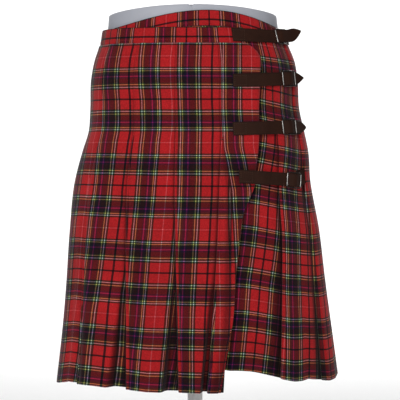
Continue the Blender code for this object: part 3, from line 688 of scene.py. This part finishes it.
def measures(section, plan, marks, height):
    """The cloth's own measure at each point of a row, mm."""
    steps = np.concatenate([[0.0], np.cumsum(np.hypot(*np.diff(plan, axis=0).T))])
    found = np.zeros(len(steps))
    sewn = share_of(height, SLACK_FROM, SEWN_TO)
    for number, (index, inner, edge) in enumerate(marks):
        name = "pinch" if index < 0 else PLEATS[index][0]
        last = marks[number + 1][1] if number + 1 < len(marks) else len(steps) - 1
        if name in FRONT_MEASURES:
            known, folds, draws = zip(*FRONT_MEASURES[name])
            at_fold, scale = falling(known, folds, height), falling(known, draws, height)
        else:
            at_fold, scale = measure_at(name, height), 1.0
        if name.startswith("back") or name in ("seam_right", "under_1"):
            here, following = (float(section.length_at(fold_angle(PLEATS[i], height))) for i in (index, index + 1))
            true = hip_measure(PLEATS[index + 1][0]) - hip_measure(name)
            scale += (true / (following - here) - scale) * sewn
        found[edge:last + 1] = at_fold + (steps[edge:last + 1] - steps[edge]) * scale
        skip, below = CREASE_SKIP.get(name, (0.0, 0.0))
        if height < below:
            found[edge + TO_CREASE + 1:last + 1] += skip
        back = steps[edge] - steps[inner:edge + 1]
        start = found[inner] if number else at_fold - back[0]
        shown = min(6.0, 0.5 * back[0])
        far = np.interp(back, [shown, back[0]], [at_fold - shown, start])
        found[inner:edge + 1] = np.where(back < shown, at_fold - back, far)
    first = marks[0][1]
    end = measure_at("hidden_end", height) if marks[0][0] == 0 else found[first]
    found[:first] = end - (steps[first] - steps[:first])
    return found


def fold_shade_strength(lengths, marks, height):
    """How much painted shade darkens the cloth beside each fold edge and along each bent-back crease, from 0 to 1."""
    found = np.zeros(len(lengths))
    places = np.arange(len(lengths))
    slack = share_of(height, BAND_SEAM, HEM)
    reach = 1.4 + 5.5 * slack ** 1.5
    strength = 0.35 + 0.5 * slack
    for number, (index, inner, edge) in enumerate(marks):
        start = lengths[edge]
        before = places < inner + 7
        if number:
            before &= places > marks[number - 1][2]
        side = 1.0 if index >= 0 else 0.5
        away = np.maximum(start - lengths, 0.0) / reach
        found = np.maximum(found, np.where(before, side * strength * np.exp(-away * away), 0.0))
        # Painted shade also darkens the crease where a face bends back
        if index >= 0 and PLEATS[index][7]:
            fallen = share_of(height, CREASE_FROM, CREASE_FROM - 60.0)
            crease = lengths[min(edge + TO_CREASE, len(lengths) - 1)]
            past = places > edge + TO_CREASE - 4
            away = np.abs(lengths - crease) / (1.2 + 2.4 * slack)
            found = np.maximum(found, np.where(past, 0.75 * fallen * np.exp(-away * away), 0.0))
    return found


fold_lines = []
# The share of the under apron's rise that its weft stripes don't follow, by height, and where it counts from
LEVEL_SHARES, LEVEL_ANGLE = ((200.0, 560.0, 665.0, 720.0, 755.0), (0.2, 0.25, 0.3, 0.6, 0.7)), -326.0


def map_measures(mesh, flat):
    """Gives each corner of a mesh's faces its place on the flat cloth, mm."""
    layer = mesh.uv_layers.new(name="cloth_measure")
    layer.uv.foreach_set("vector", (flat * MM).astype(np.float32).ravel())


def cloth_piece(name, finish):
    """One of the three cloths as a thin shell, with a map of the cloth's own measures across and down."""
    heights = np.concatenate([[ROWS[0][0]], np.linspace(748.0, 206.0, 84), [HEM]])
    grid, across, nap_and_fold_shade, below = [], [], [], []
    for height in heights:
        section, runs, marks = cloth_row(height)
        step, _, under, lift = row_at(height)
        hem_share = share_of(height, BAND_SEAM, HEM)
        lengths, offsets = np.array(runs[name]).T
        angles = section.angle_at(lengths)
        troughs_and_fold_shade = soft_troughs(angles, height) * np.clip(1.0 - np.abs(offsets) / (3.0 * step + 2.0), 0.0, 1.0)
        shifted = offsets + troughs_and_fold_shade - under * under_share(angles)
        tucked = lift * 0.5 * (1.0 - np.clip(offsets / step, -1.0, 1.0))
        levels = height + rise_at(angles, hem_share) + hem_wave(angles, hem_share) + tucked
        plan = ring_points(OUTLINE, angles, levels) + section.out(lengths) * shifted[:, None]
        grid.append(np.column_stack([plan, levels]))
        across.append(measures(section, plan, marks[name], height))
        # Painted shade beside the fold edges and along the creases, kept per point
        nap_and_fold_shade.append(fold_shade_strength(lengths, marks[name], height))
        rise = levels - height
        level_share = np.interp(height, *LEVEL_SHARES) if name == "under_apron" else 0.0
        below.append(height + level_share * (rise - np.interp(LEVEL_ANGLE, angles, rise)))
    grid = np.array(grid)
    for index, _, edge in marks[name]:
        if index >= 0:
            sewn = (heights < 748.0) & (heights > SEWN_TO)
            fold_lines.append(grid[sewn, edge])
    faces = grid_faces(*grid.shape[:2])
    mesh = mesh_of(name + "_cloth", grid.reshape(-1, 3), faces.tolist())
    map_measures(mesh, np.column_stack([np.ravel(across), np.ravel(below)])[faces.reshape(-1)])
    # The painted fold shade is stored on the points for the material to read
    fold_shade_layer = mesh.attributes.new("painted_fold_shade", "FLOAT", "POINT")
    fold_shade_layer.data.foreach_set("value", np.ravel(nap_and_fold_shade).astype(np.float32))
    piece = add_piece(name + "_cloth", mesh, finish, "tartan_cloth", name)
    wall = piece.modifiers.new("thickness", "SOLIDIFY")
    wall.thickness = CLOTH * MM
    wall.offset = 0.0
    wall.use_even_offset = False


# Tartan, from a black line to the next pale pink line: where each stripe starts, mm, and its dyed colour as
# it looks on the finished cloth
RED, DEEP_RED, BLACK = (0.69, 0.128, 0.142), (0.5, 0.07, 0.085), (0.03, 0.025, 0.045)
NAVY, GREEN, WINE = (0.085, 0.045, 0.145), (0.085, 0.11, 0.075), (0.14, 0.045, 0.065)
WHITE, YELLOW, MAGENTA, PINK = (0.80, 0.90, 0.87), (0.76, 0.75, 0.40), (0.5, 0.105, 0.36), (0.82, 0.44, 0.46)
WARP_HALF, WEFT_HALF = 64.5, 69.2
WARP_STRIPES = (
    (0.0, BLACK), (1.3, RED), (14.3, GREEN), (17.2, WHITE), (18.6, GREEN), (21.2, YELLOW), (22.5, GREEN),
    (25.0, WINE), (31.4, NAVY), (33.4, MAGENTA), (35.2, NAVY), (38.4, GREEN), (41.6, YELLOW), (42.9, GREEN),
    (44.6, WHITE), (46.0, GREEN), (48.9, RED), (63.7, PINK),
)
WEFT_STRIPES = (
    (0.0, BLACK), (1.3, RED), (15.9, GREEN), (18.6, WHITE), (19.9, GREEN), (22.8, YELLOW), (24.1, GREEN),
    (26.6, WINE), (33.4, NAVY), (36.0, MAGENTA), (37.6, NAVY), (41.6, GREEN), (44.8, YELLOW), (46.1, GREEN),
    (47.9, WHITE), (49.2, GREEN), (51.8, RED), (66.0, DEEP_RED), (66.6, RED), (68.5, PINK),
)
THREAD = 0.62
# The stripes hold square roots of their looks, so that threads mix as the eye mixes them, and this power
# turns the mixture back into light
LOOKS_TO_LIGHT = 2.0 * 2.2


def tartan_finish(name, centre_weft, swapped=False):
    """Twill-woven wool: warp and weft stripes cross, mixed half and half by the threads of the twill."""
    wool = Nodes(name)
    flat = wool.add("ShaderNodeUVMap", uv_map="cloth_measure")
    drift = wool.add("ShaderNodeTexNoise", "Color", {"Vector": flat, "Scale": 26.0, "Detail": 2.0})
    drift = wool.add("ShaderNodeVectorMath", inputs={0: drift, 1: (0.5, 0.5, 0.5)}, operation="SUBTRACT")
    drift = wool.add("ShaderNodeVectorMath", inputs={0: drift, "Scale": 0.0011}, operation="SCALE")
    moved = wool.add("ShaderNodeVectorMath", inputs={0: flat, 1: drift}, operation="ADD")
    parts = wool.tree.nodes.new("ShaderNodeSeparateXYZ")
    wool.put(parts.inputs[0], moved)
    across, down = parts.outputs[0], wool.maths("SUBTRACT", parts.outputs[1], centre_weft * MM)
    if swapped:
        across, down = down, across
    warp, weft = (
        wool.ramp(wool.folded(along, half), [(at / half, np.sqrt(colour)) for at, colour in stripes], "CONSTANT")
        for along, half, stripes in ((across, WARP_HALF, WARP_STRIPES), (down, WEFT_HALF, WEFT_STRIPES))
    )
    twill = wool.folded(wool.maths("ADD", across, down), THREAD)
    fuzz = wool.noise(2600.0, 2.0, 0.7)
    share = wool.raised(wool.raised(0.18, twill, 0.34), fuzz, 0.3)
    mixed = wool.mix(share, warp, weft)
    heather = wool.ramp(wool.noise(420.0, 3.0, 0.6), ((0.25, 0.93), (0.75, 1.05)))
    faded = wool.ramp(wool.noise(11.0, 3.0), ((0.3, 0.965), (0.7, 1.025)))
    mixed = wool.mix(1.0, wool.mix(1.0, mixed, heather, "MULTIPLY"), faded, "MULTIPLY")
    # Painted shade: the cloth is mixed towards this dark red beside each fold edge and along creases, where shadow
    # falls
    troughs_and_fold_shade = wool.add("ShaderNodeAttribute", "Fac", attribute_name="painted_fold_shade")
    mixed = wool.mix(wool.maths("MULTIPLY", troughs_and_fold_shade, 0.62), mixed, (0.235, 0.105, 0.115))
    tone = wool.add("ShaderNodeGamma", inputs={"Color": mixed, "Gamma": LOOKS_TO_LIGHT})
    threads = wool.bump(twill, 0.00012, 0.6)
    nap_and_fold_shade = wool.bump(wool.noise(1500.0, 4.0, 0.75), 0.00022, 0.7, threads)
    limp = wool.bump(wool.noise(34.0, 3.0, 0.5), 0.0016, 0.35, nap_and_fold_shade)
    return wool.finish(
        Base_Color=tone,
        Roughness=wool.raised(0.82, fuzz, 0.12),
        Sheen_Weight=0.12,
        Sheen_Roughness=0.45,
        Specular_IOR_Level=0.18,
        Normal=limp,
    )


tartan = tartan_finish("tartan_wool_twill", 664.3)
for cloth_name in CLOTHS:
    cloth_piece(cloth_name, tartan)

# The waistband: a folded strip of the same tartan, cut across the cloth so that one black line runs along
# its middle. It is sewn over the top of the pleats, goes round one and a quarter times like the skirt, and
# its under end rises in front above the outer end.

# The angle of its outer end, how far its under end lies inwards, its thickness, its edges' rounding, and how
# far above each of its points the body's outline is read, mm
BAND_END, BAND_UNDER, BAND_CLOTH, BAND_ROUND, BAND_LIFT = 32.0, 2.7, 2.0, 0.7, 0.25
band_turns = np.concatenate([np.arange(UNDER_END, UNDER_FROM, 1.5), np.linspace(UNDER_FROM, BAND_END, 204)])
band_profile = []
for side, low, high in ((1.0, 0.0, 1.0), (-1.0, 1.0, 0.0)):
    for share in np.linspace(low, high, 6):
        near_edge = min(share, 1.0 - share)
        half = 0.5 * BAND_CLOTH - (BAND_ROUND if near_edge < 0.001 else 0.0)
        band_profile.append((side * half, share))
band_sections = {}
band_points = []
for turn in band_turns:
    ring = []
    rise = float(rise_at(turn, 0.0))
    for out, share in band_profile:
        height = BAND_SEAM + BAND_LIFT + (BAND_TOP - BAND_SEAM) * share + rise
        level = round(height, 1)
        if level not in band_sections:
            band_sections[level] = Section(level)
        section = band_sections[level]
        length = section.length_at(turn)
        outward = section.out(np.array([length]))[0]
        base = ring_points(OUTLINE, np.array([turn]), height)[0]
        ripple = 0.25 * math.sin(0.31 * turn) * math.sin(math.pi * share) + 0.18 * math.sin(0.83 * turn + 1.0)
        shift = out + ripple - BAND_UNDER * float(under_share(turn))
        ring.append((*(base + outward * shift), height - BAND_LIFT))
    band_points.append(ring)
band_points = np.array(band_points)
band_measures = np.concatenate([[0.0], np.cumsum(np.hypot(*np.diff(band_points[:, 2, :2], axis=0).T))])
front_middle = float(np.interp(0.0, band_turns, band_measures))
under_middle = float(np.interp(-360.0, band_turns, band_measures))
outer_black, under_black = front_middle - 13.5, under_middle + 23.0
share = share_of(band_turns, -300.0, -100.0)
band_along = (band_measures - under_black) * (1.0 - share) + (band_measures - outer_black) * share
sides = len(band_profile)
faces = grid_faces(len(band_turns), sides, around=True).tolist()
last = (len(band_turns) - 1) * sides
faces += [list(range(sides)), list(range(last + sides - 1, last - 1, -1))]
band_mesh = mesh_of("waistband_cloth", band_points.reshape(-1, 3), faces)
stations, numbers = np.divmod(np.concatenate(faces), sides)
band_up = np.array(band_profile)[numbers, 1] * (BAND_TOP - BAND_SEAM)
map_measures(band_mesh, np.column_stack([band_along[stations], band_up]))
fix = bmesh.new()
fix.from_mesh(band_mesh)
bmesh.ops.recalc_face_normals(fix, faces=fix.faces)
fix.to_mesh(band_mesh)
fix.free()
band_mesh.set_sharp_from_angle(angle=math.radians(70.0))
band_finish = tartan_finish("tartan_wool_waistband", 9.5, swapped=True)
waistband = add_piece("waistband_cloth", band_mesh, band_finish, "tartan_cloth", "waistband")

# The four straps: dark brown bridle leather, 21.5 mm wide and 2 mm thick, cut square and sewn to the outer
# apron at one end, and pointed at the other. Each passes through its buckle on the under apron, which a
# thinner leather tab holds, folded round the buckle's middle bar and sewn down beyond it.

# From what angle an edge counts as cut, how many points find it again, and how far it is rubbed, mm
CUT_EDGE, EDGE_POINTS, RUBBED_REACH = math.radians(62.0), 24, 0.9


def leather_finish(name, base, other_tone, edge):
    """Waxed leather: fine grain, faint creases across, and a darker, smoother cut edge."""
    hide = Nodes(name)
    cells = hide.add("ShaderNodeTexVoronoi", "Distance", {"Vector": hide.place(), "Scale": 780.0}, feature="F1")
    grain = hide.raised(cells, hide.noise(330.0, 5.0, 0.65), 0.8)
    creases = hide.noise(60.0, 6.0, 0.7, hide.place((6.0, 6.0, 0.7)))
    rubbed = hide.add("ShaderNodeAttribute", "Fac", attribute_name="rubbed")
    patches = hide.patches(hide.noise(24.0, 5.0, 0.65), 0.35, 0.7)
    tone = hide.mix(patches, base, other_tone)
    pores = hide.ramp(cells, ((0.1, 0.72), (0.5, 1.0)))
    tone = hide.mix(0.6, tone, hide.mix(1.0, tone, pores, "MULTIPLY"))
    tone = hide.mix(hide.maths("MULTIPLY", rubbed, 0.55), tone, edge)
    skin = hide.bump(grain, 0.00016, 0.8)
    skin = hide.bump(creases, 0.0004, 0.35, skin)
    return hide.finish(
        Base_Color=tone,
        Roughness=hide.raised(0.56, patches, 0.14),
        Specular_IOR_Level=0.13,
        Normal=skin,
    )


def modified_mesh(name, host):
    """The plain mesh that an object's modifiers make. The object and its own mesh are removed."""
    made = bpy.data.meshes.new_from_object(host.evaluated_get(bpy.context.evaluated_depsgraph_get()))
    first = host.data
    host.modifiers.clear()
    bpy.data.objects.remove(host)
    bpy.data.meshes.remove(first)
    made.name = name
    made.shade_smooth()
    return made


def leather_piece(name, node, finish, edge_round):
    """The node's strip with its cut edges eased and its bends made smooth, and its edges marked as rubbed."""
    mesh = bmesh.new()
    mesh.from_mesh(bpy.data.objects[node].data)
    bmesh.ops.remove_doubles(mesh, verts=mesh.verts, dist=1e-6)
    bmesh.ops.join_triangles(
        mesh, faces=mesh.faces, angle_face_threshold=math.radians(30.0), angle_shape_threshold=math.radians(60.0),
    )
    layer = mesh.edges.layers.float.new("crease_edge")
    sharp = [edge for edge in mesh.edges if edge.is_manifold and edge.calc_face_angle() > CUT_EDGE]
    tree = KDTree(len(sharp) * EDGE_POINTS)
    for edge in sharp:
        edge[layer] = 0.85
        for step in range(EDGE_POINTS):
            tree.insert(edge.verts[0].co.lerp(edge.verts[1].co, step / (EDGE_POINTS - 1.0)), edge.index)
    tree.balance()
    piece = linked(name, as_mesh(name + "_rough", mesh))
    ease = piece.modifiers.new("eased_edges", "BEVEL")
    ease.width = edge_round * MM
    ease.segments = 2
    ease.limit_method = "ANGLE"
    ease.angle_limit = CUT_EDGE
    smooth = piece.modifiers.new("smooth_bends", "SUBSURF")
    smooth.levels = smooth.render_levels = 2
    made = modified_mesh(name, piece)
    made.materials.clear()
    rubbed = made.attributes.new("rubbed", "FLOAT", "POINT")
    for vertex in made.vertices:
        rubbed.data[vertex.index].value = math.exp(-(tree.find(vertex.co)[2] / MM / RUBBED_REACH) ** 2)
    add_piece(name, made, finish, "dark_brown_leather", node)


strap_leather = leather_finish(
    "dark_brown_strap_leather", (0.0226, 0.0067, 0.0031), (0.036, 0.012, 0.006), (0.011, 0.0045, 0.003),
)
tab_leather = leather_finish(
    "dark_brown_tab_leather", (0.017, 0.0055, 0.0028), (0.026, 0.009, 0.005), (0.009, 0.004, 0.0028),
)
for number in "1234":
    leather_piece("leather_strap_" + number, "strap_" + number, strap_leather, 0.45)
    leather_piece("leather_tab_" + number, "buckle_tab_" + number, tab_leather, 0.25)

# The buckles: a slide of 2 mm nickelled steel wire bent to a rectangle, brazed shut, with a middle bar
# brazed across. The strap goes under, over and under its bars, so it holds by friction.

FRAME_LENGTH, FRAME_HEIGHT, FRAME_CORNER, WIRE = 30.0, 26.4, 2.6, 2.0

metal = Nodes("nickelled_wire")
scratches = metal.noise(240.0, 6.0, 0.8, metal.place((1.0, 1.0, 14.0), (0.3, 0.5, 0.0)))
dull = metal.patches(metal.noise(150.0, 4.0, 0.7), 0.4, 0.75)
# The frame is darker along its top and bottom bars, set by height on the frame
bar_darkening = metal.add("ShaderNodeAttribute", "Fac", attribute_name="bar_darkening")
bright = metal.mix(dull, (0.36, 0.345, 0.33), (0.22, 0.205, 0.19))
nickel = metal.finish(
    Base_Color=metal.mix(metal.maths("MULTIPLY", bar_darkening, 0.93), bright, (0.045, 0.034, 0.03)),
    Metallic=1.0,
    Roughness=metal.raised(0.26, dull, 0.2),
    Normal=metal.bump(scratches, 0.00003, 0.5),
)


def tube(mesh, path, radius, closed, sides=14):
    """A round wire along a path of points, added to a mesh."""
    rings = []
    for index, at in enumerate(path):
        before = path[index - 1] if closed or index else at
        after = path[(index + 1) % len(path)] if closed or index + 1 < len(path) else at
        ahead = (after - before).normalized()
        across = Vector((ahead.y, -ahead.x, 0.0))
        rings.append([
            mesh.verts.new(at + (across * math.cos(t) + Vector((0.0, 0.0, 1.0)) * math.sin(t)) * radius)
            for t in (2.0 * math.pi * side / sides for side in range(sides))
        ])
    join_rings(mesh, rings + rings[:1] if closed else rings)
    if not closed:
        mesh.faces.new(rings[0])
        mesh.faces.new(rings[-1][::-1])


def buckle_axes(node):
    """Where a buckle lies in the frame: its middle, mm, and the directions along the strap and up."""
    spots = np.array([vertex.co[:] for vertex in bpy.data.objects[node].data.vertices])
    spots = np.unique(spots.round(7), axis=0) / MM
    middle = spots.mean(axis=0)
    along, up = np.linalg.svd(spots - middle)[2][:2]
    return Vector(middle), Vector(along * np.sign(along[0])), Vector(up * np.sign(up[2]))


for number in "1234":
    centre, along, up = buckle_axes("buckle_" + number)
    outward = along.cross(up)
    path = []
    for turn, x, y in ((0, 1, 1), (90, -1, 1), (180, -1, -1), (270, 1, -1)):
        for step in range(9):
            angle = math.radians(turn + 11.25 * step)
            path.append(Vector((
                x * (0.5 * (FRAME_LENGTH - WIRE) - FRAME_CORNER) + FRAME_CORNER * math.cos(angle),
                y * (0.5 * (FRAME_HEIGHT - WIRE) - FRAME_CORNER) + FRAME_CORNER * math.sin(angle),
                0.0,
            )))
    wire = bmesh.new()
    tube(wire, path, 0.5 * WIRE, True)
    half = 0.5 * FRAME_HEIGHT - 0.75 * WIRE
    tube(wire, [Vector((0.0, -half, 0.0)), Vector((0.0, half, 0.0))], 0.46 * WIRE, False)
    for end in (-1.0, 1.0):
        bead = Matrix.Translation((0.0, end * (half + 0.1), 0.0)) @ Matrix.Diagonal((1.5, 0.75, 1.05, 1.0))
        bmesh.ops.create_uvsphere(wire, u_segments=14, v_segments=9, radius=0.62 * WIRE, matrix=bead)
    bmesh.ops.recalc_face_normals(wire, faces=wire.faces)
    turned = Matrix((along, up, outward)).transposed().to_4x4()
    placed = Matrix.Translation(centre * MM) @ turned @ Matrix.Scale(MM, 4)
    bmesh.ops.transform(wire, verts=wire.verts, matrix=placed)
    made = as_mesh("wire_buckle_" + number, wire)
    # Darker towards the top and bottom bars, by height on the frame
    other_tone = made.attributes.new("bar_darkening", "FLOAT", "POINT")
    for vertex in made.vertices:
        height = abs((vertex.co / MM - centre).dot(up)) / (0.5 * FRAME_HEIGHT - WIRE)
        other_tone.data[vertex.index].value = min(1.0, max(0.0, (height - 0.84) / 0.12))
    add_piece("wire_buckle_" + number, made, nickel, "silver_wire", "buckle_" + number)

# The stitches: a box of waxed brown thread at each strap's sewn end, red thread in tiny slips down the
# pleats from the waistband to the hips, and one machined row of red along the waistband's lower edge.


def stitch_tree():
    """Geometry Nodes: one small round-ended stitch at each step along a path."""
    tree = bpy.data.node_groups.new("stitch_rows", "GeometryNodeTree")
    face = tree.interface
    face.new_socket("Geometry", in_out="INPUT", socket_type="NodeSocketGeometry")
    for name, kind in (
        ("Spacing", "Float"), ("Stitch Length", "Float"), ("Thread Radius", "Float"), ("Seed", "Int"),
        ("Thread", "Material"),
    ):
        face.new_socket(name, in_out="INPUT", socket_type="NodeSocket" + kind)
    face.new_socket("Geometry", in_out="OUTPUT", socket_type="NodeSocketGeometry")
    row = Nodes("stitch_rows", tree)
    given, made = tree.nodes.new("NodeGroupInput").outputs, tree.nodes.new("NodeGroupOutput")
    path = row.add("GeometryNodeMeshToCurve", inputs={"Mesh": given["Geometry"]})
    steps = row.add("GeometryNodeResampleCurve", inputs={"Curve": path, "Length": given["Spacing"]}, mode="LENGTH")
    stitch = row.add("GeometryNodeMeshUVSphere", inputs={"Segments": 6, "Rings": 4, "Radius": 1.0})
    ahead = row.add("GeometryNodeInputTangent")
    turn = row.add("FunctionNodeAlignRotationToVector", inputs={"Vector": ahead}, axis="X")
    spread = {0: (0.44, 0.9, 0.9), 1: (0.53, 1.1, 1.1), "Seed": given["Seed"]}
    uneven = row.add("FunctionNodeRandomValue", inputs=spread, data_type="FLOAT_VECTOR")
    radius = given["Thread Radius"]
    size = row.add("ShaderNodeCombineXYZ", inputs={"X": given["Stitch Length"], "Y": radius, "Z": radius})
    scale = row.add("ShaderNodeVectorMath", inputs={0: size, 1: uneven}, operation="MULTIPLY")
    placed = {"Points": steps, "Instance": stitch, "Rotation": turn, "Scale": scale}
    real = row.add("GeometryNodeRealizeInstances", inputs={0: row.add("GeometryNodeInstanceOnPoints", inputs=placed)})
    covered = row.add("GeometryNodeSetMaterial", inputs={"Geometry": real, "Material": given["Thread"]})
    row.put(made.inputs["Geometry"], covered)
    return tree


stitches = stitch_tree()


def stitch_piece(name, paths, spacing, length, radius, seed, finish, slot):
    """Stitches along paths of points, as one plain mesh."""
    points, edges = [], []
    for path in paths:
        edges += [(len(points) + step, len(points) + step + 1) for step in range(len(path) - 1)]
        points += [tuple(float(v) for v in at) for at in path]
    line = bpy.data.meshes.new(name + "_line")
    line.from_pydata(points, edges, [])
    host = linked(name + "_line", line)
    rows = host.modifiers.new("stitches", "NODES")
    rows.node_group = stitches
    values = {"Spacing": spacing * MM, "Stitch Length": length * MM, "Thread Radius": radius * MM}
    values.update({"Seed": seed, "Thread": finish})
    for socket in stitches.interface.items_tree:
        if socket.in_out == "INPUT" and socket.name in values:
            rows[socket.identifier] = values[socket.name]
    add_piece(name, modified_mesh(name, host), finish, slot)


def thread_finish(name, tone, lighter):
    """Twisted thread: fine plies across, with lighter fibres between."""
    thread = Nodes(name)
    plies = thread.noise(900.0, 4.0, 0.7)
    return thread.finish(
        Base_Color=thread.mix(plies, tone, lighter),
        Roughness=thread.raised(0.6, plies, 0.2),
        Specular_IOR_Level=0.2,
        Normal=thread.bump(plies, 0.00006),
    )


def front_path(surface, spots, lift):
    """Points on a surface straight behind (x, z) spots in mm, joined in steps of 1.5 mm."""
    path = []
    for (x, z), (to_x, to_z) in zip(spots, spots[1:]):
        parts = max(2, int(math.hypot(to_x - x, to_z - z) / 1.5))
        for part in range(parts + 1):
            share = part / parts
            at = Vector((x + (to_x - x) * share, -400.0, z + (to_z - z) * share)) * MM
            spot, normal, _, _ = surface.ray_cast(at, Vector((0.0, 1.0, 0.0)))
            if spot is not None:
                path.append(spot + normal * lift * MM)
    return path


# The box of stitches at each strap's sewn end, mm: from and to how far in, and half its width
BOX_NEAR, BOX_FAR, BOX_HALF = 3.5, 21.5, 7.6
brown_thread = thread_finish("waxed_brown_thread", (0.045, 0.02, 0.011), (0.075, 0.036, 0.02))
red_thread = thread_finish("red_sewing_thread", (0.26, 0.012, 0.014), (0.34, 0.03, 0.03))
for number in "1234":
    strap = bpy.data.objects["leather_strap_" + number]
    surface = BVHTree.FromObject(strap, bpy.context.evaluated_depsgraph_get())
    spots = np.array([vertex.co[:] for vertex in strap.data.vertices]) / MM
    left = spots[:, 0].min()
    near, far = (spots[np.abs(spots[:, 0] - left - at) < 2.5] for at in (4.0, 22.0))
    middle = [0.5 * (part[:, 2].min() + part[:, 2].max()) for part in (near, far)]
    box = [
        (left + at, middle[end] + side * BOX_HALF)
        for at, end, side in ((BOX_NEAR, 0, -1), (BOX_NEAR, 0, 1), (BOX_FAR, 1, 1), (BOX_FAR, 1, -1))
    ]
    rows = [front_path(surface, [one, other], 0.05) for one, other in zip(box, box[1:] + box[:1])]
    stitch_piece("strap_stitches_" + number, rows, 3.0, 2.2, 0.34, 3, brown_thread, "dark_brown_leather")
fell = [[Vector(at) * MM for at in line] for line in fold_lines]
stitch_piece("pleat_stitches", fell, 9.0, 1.8, 0.28, 5, red_thread, "tartan_cloth")
lower = [Vector(at) * MM for at in band_points[:, 1]]
stitch_piece("waistband_stitches", [lower], 3.4, 2.4, 0.26, 7, red_thread, "tartan_cloth")

# The studio: a pale floor that curves up into a pale backdrop, broad soft lights, and a camera at the height
# of the hips, straight in front.

paper = Nodes("pale_studio_paper")
pale = paper.finish(
    Base_Color=paper.mix(paper.noise(3.0), (0.86, 0.86, 0.86), (0.88, 0.88, 0.88)),
    Roughness=0.9,
    Normal=paper.bump(paper.noise(60.0), 0.0004),
)
sweep = [(-8.0, 0.0), (5.0, 0.0)]
sweep += [(5.0 + 1.4 * math.sin(t), 1.4 - 1.4 * math.cos(t)) for t in np.radians(np.arange(10.0, 91.0, 10.0))]
sweep += [(6.4, 7.0)]
corners = [(x, y, z) for y, z in sweep for x in (-7.0, 7.0)]
floor_mesh = bpy.data.meshes.new("studio_floor")
floor_mesh.from_pydata(corners, [], [(2 * i, 2 * i + 1, 2 * i + 3, 2 * i + 2) for i in range(len(sweep) - 1)])
floor_mesh.materials.append(pale)
floor_mesh.shade_smooth()
linked("studio_floor", floor_mesh)

world = bpy.data.worlds.new("studio_air")
world.use_nodes = True
air = world.node_tree.nodes["Background"].inputs
air["Color"].default_value = (1.0, 1.0, 1.0, 1.0)
air["Strength"].default_value = 0.30
bpy.context.scene.world = world


def aimed(name, data, where, aim):
    thing = linked(name, data)
    thing.location = where
    thing.rotation_euler = (Vector(aim) - Vector(where)).to_track_quat("-Z", "Y").to_euler()
    return thing


for name, where, aim, size, power in (
    ("front_softbox", (-0.85, -2.8, 1.35), (0.0, 0.0, 0.4), 0.8, 38.0),
    ("right_softbox", (1.5, -2.2, 1.0), (0.0, 0.0, 0.5), 0.9, 5.0),
    ("backdrop_light", (0.0, 3.6, 4.0), (0.0, 6.2, 0.4), 3.0, 210.0),
    ("rear_softbox", (0.9, 2.9, 2.3), (0.0, 0.0, 0.5), 1.2, 30.0),
):
    lamp = bpy.data.lights.new(name, "AREA")
    lamp.shape = "SQUARE"
    lamp.size = size
    lamp.energy = power
    aimed(name, lamp, where, aim)

lens = bpy.data.cameras.new("front_camera")
lens.lens = 156.24
lens.sensor_width = 36.0
bpy.context.scene.camera = aimed("front_camera", lens, (0.008, -2.9, 0.583), (0.0083, 0.0, 0.4995))
bpy.context.scene.view_settings.view_transform = "Standard"
